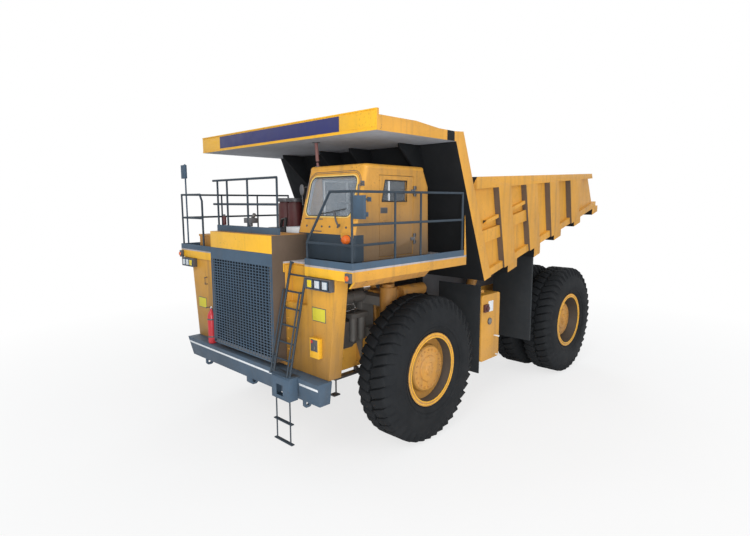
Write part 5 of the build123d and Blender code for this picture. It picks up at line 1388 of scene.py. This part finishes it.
@dataclass
class WheelTrim:
    """Bolts, rings and valve of a wheel, and raised rings on its tyres."""

    bolts: Bolts
    bolt_rings: tuple[tuple[int, float, float], ...] = ((20, 0.352, 0.014), (12, 0.215, 0.012))
    hub_ring: tuple[tuple[float, float], ...] = (
        (-0.004, 0.235), (0.006, 0.235), (0.010, 0.242), (0.006, 0.249), (-0.004, 0.249)
    )
    rim_rings: tuple[float, ...] = (0.60, 0.655)
    wall_rings: tuple[tuple[float, float], ...] = ((0.80, 0.352), (0.875, 0.360), (1.06, 0.357))

    def dress(
        self, body: str, station: float, side: int, drum: float, cap: float, tyres: Sequence[float]
    ) -> None:
        """Adds the fittings of one wheel body.

        Args:
            body: The body that the fittings ride on.
            station: The axle's station.
            side: The sign of X on this side.
            drum: How far the hub drum's face stands outboard of the outer tyre's middle.
            cap: How far the hub cap's face stands outboard of it.
            tyres: The X of each tyre's middle, the outer first.
        """
        out = side * ACROSS
        centre = at(tyres[0], station, AXLE_Z)
        shape = Shape(f"trim_{body}")
        for count, radius, size in self.bolt_rings:
            self.bolts.ring(shape, centre + out * drum, out, count, radius, size, YELLOW_WORN)
        self.bolts.ring(shape, centre + out * cap, out, 6, 0.07, 0.009, YELLOW_WORN)
        shape.lathe(self.hub_ring, centre + out * drum, out, YELLOW_WORN)
        # raised rings in the brighter yellow, painted light
        for radius in self.rim_rings:
            low, high = radius - 0.009, radius + 0.009
            profile = ((0.300, low), (0.308, low), (0.312, radius), (0.308, high), (0.300, high))
            shape.lathe(profile, centre, out, YELLOW_LIT, 72)
        shape.tube([centre + out * 0.10 + 0.58 * UP, centre + out * 0.26 + 0.57 * UP], 0.012, CHROME)
        shape.done(body, 0.0, 30)
        rubber = Shape(f"sidewall_{body}")
        for middle in tyres:
            for face in (-1, 1):
                for radius, wide in self.wall_rings:
                    foot, crest = face * (wide - 0.006), face * (wide + 0.0085)
                    profile = (
                        (foot, radius - 0.008), (crest, radius - 0.004), (crest, radius + 0.004),
                        (foot, radius + 0.008),
                    )
                    rubber.lathe(profile, at(middle, station, AXLE_Z), ACROSS, RUBBER, 72)
        rubber.done(body, 0.0, 50)

    def build(self) -> None:
        """Adds the fittings of all four wheel bodies."""
        for side in Side:
            name, sign = side.name.lower(), side.value
            self.dress(f"front_wheel_{name}", 0, sign, 0.212, 0.262, [sign * FRONT_WHEEL_X])
            rear = [sign * x for x in REAR_WHEEL_X]
            self.dress(f"rear_wheels_{name}", REAR_STATION, sign, 0.132, 0.182, rear)


@dataclass
class TyreTread:
    """Tyres with a finer tread: a turned casing and two rows of slanted, tapered lugs."""

    round_tree: RoundTree = field(default_factory=RoundTree)
    lugs: int = 44
    width: float = 0.152
    slant: float = 20.0
    steps: int = 96
    casing: Sequence[tuple[float, float]] = (
        # distance from the middle and radius
        (0.2797, 0.6223), (0.2797, 0.69), (0.325, 0.735), (0.354, 0.80), (0.367, 0.88), (0.3695, 0.96),
        (0.365, 1.06), (0.345, 1.155), (0.315, 1.22), (0.285, 1.258), (0.235, 1.28), (0.17, 1.288),
    )
    section: Sequence[tuple[float, float, float]] = (
        # distance from the middle, radius, share of the lug's width
        (0.012, 1.25, 1.1), (0.026, 1.3495, 0.95), (0.250, 1.3495, 0.95), (0.312, 1.318, 0.98),
        (0.352, 1.20, 1.06), (0.359, 1.135, 1.02), (0.31, 1.12, 1.06),
    )

    def lug(self, side: int) -> bpy.types.Mesh:
        """Makes one lug at the top of a tyre that turns about the X axis.

        Args:
            side: The sign of X on the lug's side.

        Returns:
            The lug's mesh.
        """
        shape = Shape("lug")
        turn = Matrix.Rotation(math.radians(side * self.slant), 3, "Z")
        rings = []
        for flank in (-0.5, 0.5):
            ring = []
            for along, radius, share in self.section:
                point = turn @ Vector((side * along, flank * share * self.width, 0))
                point.z = math.sqrt(radius**2 - point.y**2)
                ring.append(point)
            rings.append(ring)
        shape.skin(rings, RUBBER)
        mesh = bpy.data.meshes.new("lug")
        shape.mesh.to_mesh(mesh)
        shape.mesh.free()
        return mesh

    def add(self, shape: Shape, x: float, station: float, first: int) -> None:
        """Adds one tyre to a shape.

        Args:
            shape: The shape that takes it.
            x: The X of its middle.
            station: The axle's station.
            first: The sign of X on the side that its first row faces.
        """
        middle = at(x, station, AXLE_Z)
        outline = list(self.casing) + [(-along, radius) for along, radius in reversed(self.casing)]
        shape.lathe(outline, middle, ACROSS, RUBBER, self.steps)
        for side, phase in ((first, 0.0), (-first, 0.5)):
            row = self.round_tree.run({"Count": self.lugs, "Phase": phase}, self.lug(side))
            shape.take(row, RUBBER, Matrix.Translation(middle))

    def build(self) -> None:
        """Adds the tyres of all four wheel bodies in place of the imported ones."""
        for side in Side:
            name, sign = side.name.lower(), side.value
            for body, node, station, middles in (
                (f"front_wheel_{name}", f"front_tyre_{name}", 0.0, (FRONT_WHEEL_X,)),
                (f"rear_wheels_{name}", f"rear_tyres_{name}", REAR_STATION, REAR_WHEEL_X),
            ):
                shape = Shape(f"tread_{body}")
                for middle in middles:
                    self.add(shape, sign * middle, station, sign)
                shape.done(body, 0.008, COAT_SMOOTH, [node])


@dataclass
class EngineTrim:
    """Pipes, hoses, filters and bolts about the open engine."""

    bolts: Bolts
    cylinders: int = 6
    pitch: float = 0.27
    lines: tuple[tuple[float, Finish, tuple[Point, ...]], ...] = (
        (0.012, CHROME, ((0.94, -1.42, 2.34), (0.955, -1.0, 2.31), (0.955, -0.45, 2.35))),
        (0.022, STEEL, ((0.84, -1.50, 2.42), (0.92, -1.10, 2.46), (0.92, -0.55, 2.44))),
        (0.022, STEEL, ((0.66, -1.45, 1.62), (0.74, -1.25, 1.72), (0.76, -0.95, 1.55), (0.74, -0.75, 1.50))),
        (0.028, DARK, ((0.66, -1.55, 2.55), (0.70, -1.2, 2.58), (0.68, -0.5, 2.52), (0.66, 0.1, 2.56))),
        (0.032, HOSE, ((0.64, -1.4, 1.62), (0.70, -1.2, 1.56), (0.70, -0.4, 1.58), (0.66, -0.1, 1.75))),
        (0.02, HOSE, ((0.62, -1.3, 2.25), (0.72, -1.0, 2.20), (0.70, -0.6, 2.28), (0.62, -0.4, 2.1))),
        (0.024, HOSE, ((0.66, -0.2, 2.5), (0.74, 0.0, 2.3), (0.72, 0.1, 1.9), (0.66, 0.15, 1.7))),
    )

    def build(self) -> None:
        """Adds the engine's fittings."""
        shape = Shape("engine_trim")
        for step in range(self.cylinders):
            station = -1.25 + step * self.pitch
            line = ((0.40, 2.42), (0.52, 2.50), (0.60, 2.40), (0.60, 2.12))
            shape.pipe([(x, station, z) for x, z in line], 0.012, STEEL)
            shape.rod(at(0.55, station, 2.02), at(0.62, station, 2.02), 0.05, CAST)
            self.bolts.ring(shape, at(0.62, station, 2.02), ACROSS, 5, 0.036, 0.007, STEEL)
        for x, station, low, high, wide, finish in (
            (0.98, -1.02, 1.98, 2.22, 0.05, STEEL), (0.98, -0.88, 1.98, 2.22, 0.05, STEEL),
            (0.96, -1.20, 1.78, 1.95, 0.045, SEAT), (0.80, -1.30, 1.50, 1.74, 0.05, CAST),
        ):
            shape.rod(at(x, station, low), at(x, station, high), wide, finish)
            shape.rod(at(x, station, high), at(x, station, high + 0.03), wide * 0.6, DARK)
        for station in (-1.30, -1.05, -0.80, -0.55):
            ring = ((-0.014, 0.118), (0.014, 0.118), (0.014, 0.131), (-0.014, 0.131))
            shape.lathe(ring, at(0.852, station, 2.564), BACK, STEEL, 32)
            line = ((0.93, 0, 2.47), (0.965, 0.02, 2.36), (0.90, 0.05, 2.22), (0.70, 0.06, 2.16))
            hose = HOSE if station < -0.9 else STEEL
            shape.pipe([(x, station + behind, z) for x, behind, z in line], 0.013, hose)
        for radius, finish, points in self.lines:
            shape.pipe(points, radius, finish)
        shape.done("chassis", 0.0)


@dataclass
class TankTrim:
    """Label, gauge, filler and pegs on the fuel tank."""

    bolts: Bolts
    side: float = 2.30
    gauge: tuple[float, float] = (2.185, 1.851)

    def build(self) -> None:
        """Adds the tank's fittings."""
        shape = Shape("tank_trim")
        side = self.side
        shape.box(at(side, 2.13, 2.06), at(side + 0.006, 2.32, 2.29), WHITE)
        station, z = self.gauge
        shape.rods((
            ((side, station, z), (side + 0.02, station, z), 0.075, DARK),
            ((side + 0.018, station, z), (side + 0.026, station, z), 0.055, STEEL),
        ))
        self.bolts.ring(shape, at(side + 0.02, station, z), ACROSS, 6, 0.064, 0.006, STEEL)
        shape.box(at(side, 1.93, 2.08), at(side + 0.05, 2.09, 2.24), MAROON)
        shape.rods((
            ((side + 0.045, 2.01, 2.16), (side + 0.085, 2.01, 2.16), 0.05, MAROON),
            ((side, 2.40, 1.50), (side + 0.12, 2.40, 1.50), 0.018, WHITE),
            ((side, 2.48, 1.06), (side + 0.12, 2.48, 1.06), 0.018, WHITE),
            ((1.95, 2.2, 2.44), (1.95, 2.2, 2.50), 0.09, STEEL),
            ((1.95, 2.2, 2.50), (1.95, 2.2, 2.53), 0.07, DARK),
        ))
        shape.done("chassis", 0.002)


@dataclass
class DeckTrim:
    """Boxes, bottles and a fin on the deck and the hood."""

    fin: tuple[tuple[float, float], ...] = ((0.634, 3.42), (0.699, 3.42), (0.634, 4.15))
    fin_x: float = 2.652
    fin_thickness: float = 0.011

    def build(self) -> None:
        """Adds the deck's fittings."""
        shape = Shape("deck_trim")
        shape.boxes((
            ((0.30, -1.62, 3.802), (0.66, -1.20, 3.95), WHITE),
            ((-0.66, -1.35, 3.802), (-0.30, -0.95, 3.90), DARK),
            ((-0.08, -2.26, 4.03), (0.16, -2.12, 4.12), DARK),
        ))
        hose = ((-0.45, -1.2, 3.9), (-0.40, -1.2, 4.05), (-0.20, -1.25, 4.08), (-0.12, -1.35, 3.82))
        shape.pipe(hose, 0.03, HOSE)
        shape.rods((
            ((-0.85, -2.20, 3.97), (-0.85, -2.20, 4.13), 0.035, MAROON),
            ((-0.85, -2.20, 4.13), (-0.85, -2.20, 4.17), 0.02, DARK),
            ((0.02, -2.20, 3.97), (0.02, -2.20, 4.04), 0.05, DARK),
            ((0.10, -2.19, 4.12), (0.16, -2.19, 4.19), 0.03, STEEL),
        ))
        fin = [at(self.fin_x, station, z) for station, z in self.fin]
        shape.prism(fin, self.fin_thickness * ACROSS, YELLOW)
        shape.done("chassis", 0.003)


# The stage


@dataclass(frozen=True)
class AreaLamp:
    """A soft lamp that looks at a point."""

    name: str
    place: tuple[float, float, float]
    target: tuple[float, float, float]
    size: float
    power: float
    colour: tuple[float, float, float] = (1, 1, 1)

    def build(self) -> None:
        """Adds the lamp to the scene."""
        data = bpy.data.lights.new(self.name, "AREA")
        data.shape = "DISK"
        data.size = self.size
        data.energy = self.power
        data.color = self.colour
        lamp = bpy.data.objects.new(self.name, data)
        lamp.location = self.place
        lamp.rotation_euler = (Vector(self.target) - Vector(self.place)).to_track_quat("-Z", "Y").to_euler()
        bpy.context.scene.collection.objects.link(lamp)


@dataclass
class Studio:
    """The camera, a pale floor, a white surround and soft lamps."""

    eye: tuple[float, float, float] = (7.859, -9.5505, 4.412)
    yaw: float = 43.744
    tilt: float = 82.443
    roll: float = -0.12
    lens: float = 24.23
    sensor: float = 36
    view_end: float = 2000
    lamps: tuple[AreaLamp, ...] = (
        AreaLamp("side", (17, 2, 9), (0, 0, 2), 9, 480),
        AreaLamp("front", (12.5, -13.5, 4.6), (1.2, -2.5, 1.8), 5, 1150),
        AreaLamp("back", (-9, 13, 13), (0, 1, 3), 9, 500, (0.94, 0.97, 1)),
    )
    sun_from: tuple[float, float, float] = (3.5, -10, 9.5)
    sun_power: float = 0.7
    sun_spread: float = 24
    sun_colour: tuple[float, float, float] = (1, 0.985, 0.96)
    sky_colour: tuple[float, float, float, float] = (0.92, 0.96, 1, 1)
    sky_strength: float = 0.58
    floor_half: float = 400
    floor_depth: float = 0.2

    def sun(self) -> None:
        """Adds the soft far light that evens out the floor."""
        data = bpy.data.lights.new("far_light", "SUN")
        data.energy = self.sun_power
        data.angle = math.radians(self.sun_spread)
        data.color = self.sun_colour
        lamp = bpy.data.objects.new("far_light", data)
        lamp.rotation_euler = (-Vector(self.sun_from)).to_track_quat("-Z", "Y").to_euler()
        bpy.context.scene.collection.objects.link(lamp)

    def camera(self) -> None:
        """Adds the camera with the photograph's view."""
        data = bpy.data.cameras.new("photo_camera")
        data.sensor_width = self.sensor
        data.lens = self.lens
        data.clip_end = self.view_end
        camera = bpy.data.objects.new("photo_camera", data)
        turn = (
            Matrix.Rotation(math.radians(self.yaw), 4, "Z")
            @ Matrix.Rotation(math.radians(self.tilt), 4, "X")
            @ Matrix.Rotation(math.radians(self.roll), 4, "Z")
        )
        camera.matrix_world = Matrix.Translation(self.eye) @ turn
        bpy.context.scene.collection.objects.link(camera)
        bpy.context.scene.camera = camera

    def surround(self) -> None:
        """Sets a white surround for the camera and a soft pale light for the rest."""
        world = bpy.data.worlds.new("surround")
        bpy.context.scene.world = world
        world.use_nodes = True
        world.node_tree.nodes.clear()
        tree = NodeTree(world.node_tree)
        sky = tree.node("ShaderNodeBackground", {"Color": self.sky_colour, "Strength": self.sky_strength})
        white = tree.node("ShaderNodeBackground", {"Color": (1, 1, 1, 1), "Strength": 1})
        paths = tree.node("ShaderNodeLightPath").outputs
        seen = paths["Is Camera Ray"]
        for ray in ("Is Glossy Ray", "Is Transmission Ray"):
            seen = tree.maths("MAXIMUM", seen, paths[ray])
        backgrounds = {1: sky.outputs["Background"], 2: white.outputs["Background"]}
        mix = tree.node("ShaderNodeMixShader", {"Fac": seen, **backgrounds})
        tree.node("ShaderNodeOutputWorld", {"Surface": mix.outputs["Shader"]})

    def floor(self) -> None:
        """Adds the pale floor."""
        shape = Shape("floor")
        half = self.floor_half
        shape.box(Vector((-half, -half, -self.floor_depth)), Vector((half, half, 0)), FLOOR)
        shape.object(0, 30)

    def build(self) -> None:
        """Builds the whole stage."""
        self.camera()
        self.surround()
        self.floor()
        self.sun()
        for lamp in self.lamps:
            lamp.build()
        bpy.context.scene.view_settings.view_transform = "Standard"


def main() -> None:
    """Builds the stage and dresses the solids."""
    logging.basicConfig(level=logging.INFO, format="%(name)s %(message)s")
    Studio().build()
    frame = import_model()
    coat = SolidCoat(frame)
    for node, (finish, rules, bevel) in COATS.items():
        coat.cover(node, finish, rules, bevel)
    for stem, (finish, rules, bevel) in SIDE_COATS.items():
        for side in Side:
            coat.cover(f"{stem}_{side.name.lower()}", finish, rules, bevel)
    bolts = Bolts()
    for trim in (
        Grille(), FrontTrim(bolts), CabTrim(), BodyTrim(), TyreTread(), WheelTrim(bolts), EngineTrim(bolts),
        TankTrim(bolts), DeckTrim(),
    ):
        trim.build()


if __name__ == "__main__":
    main()
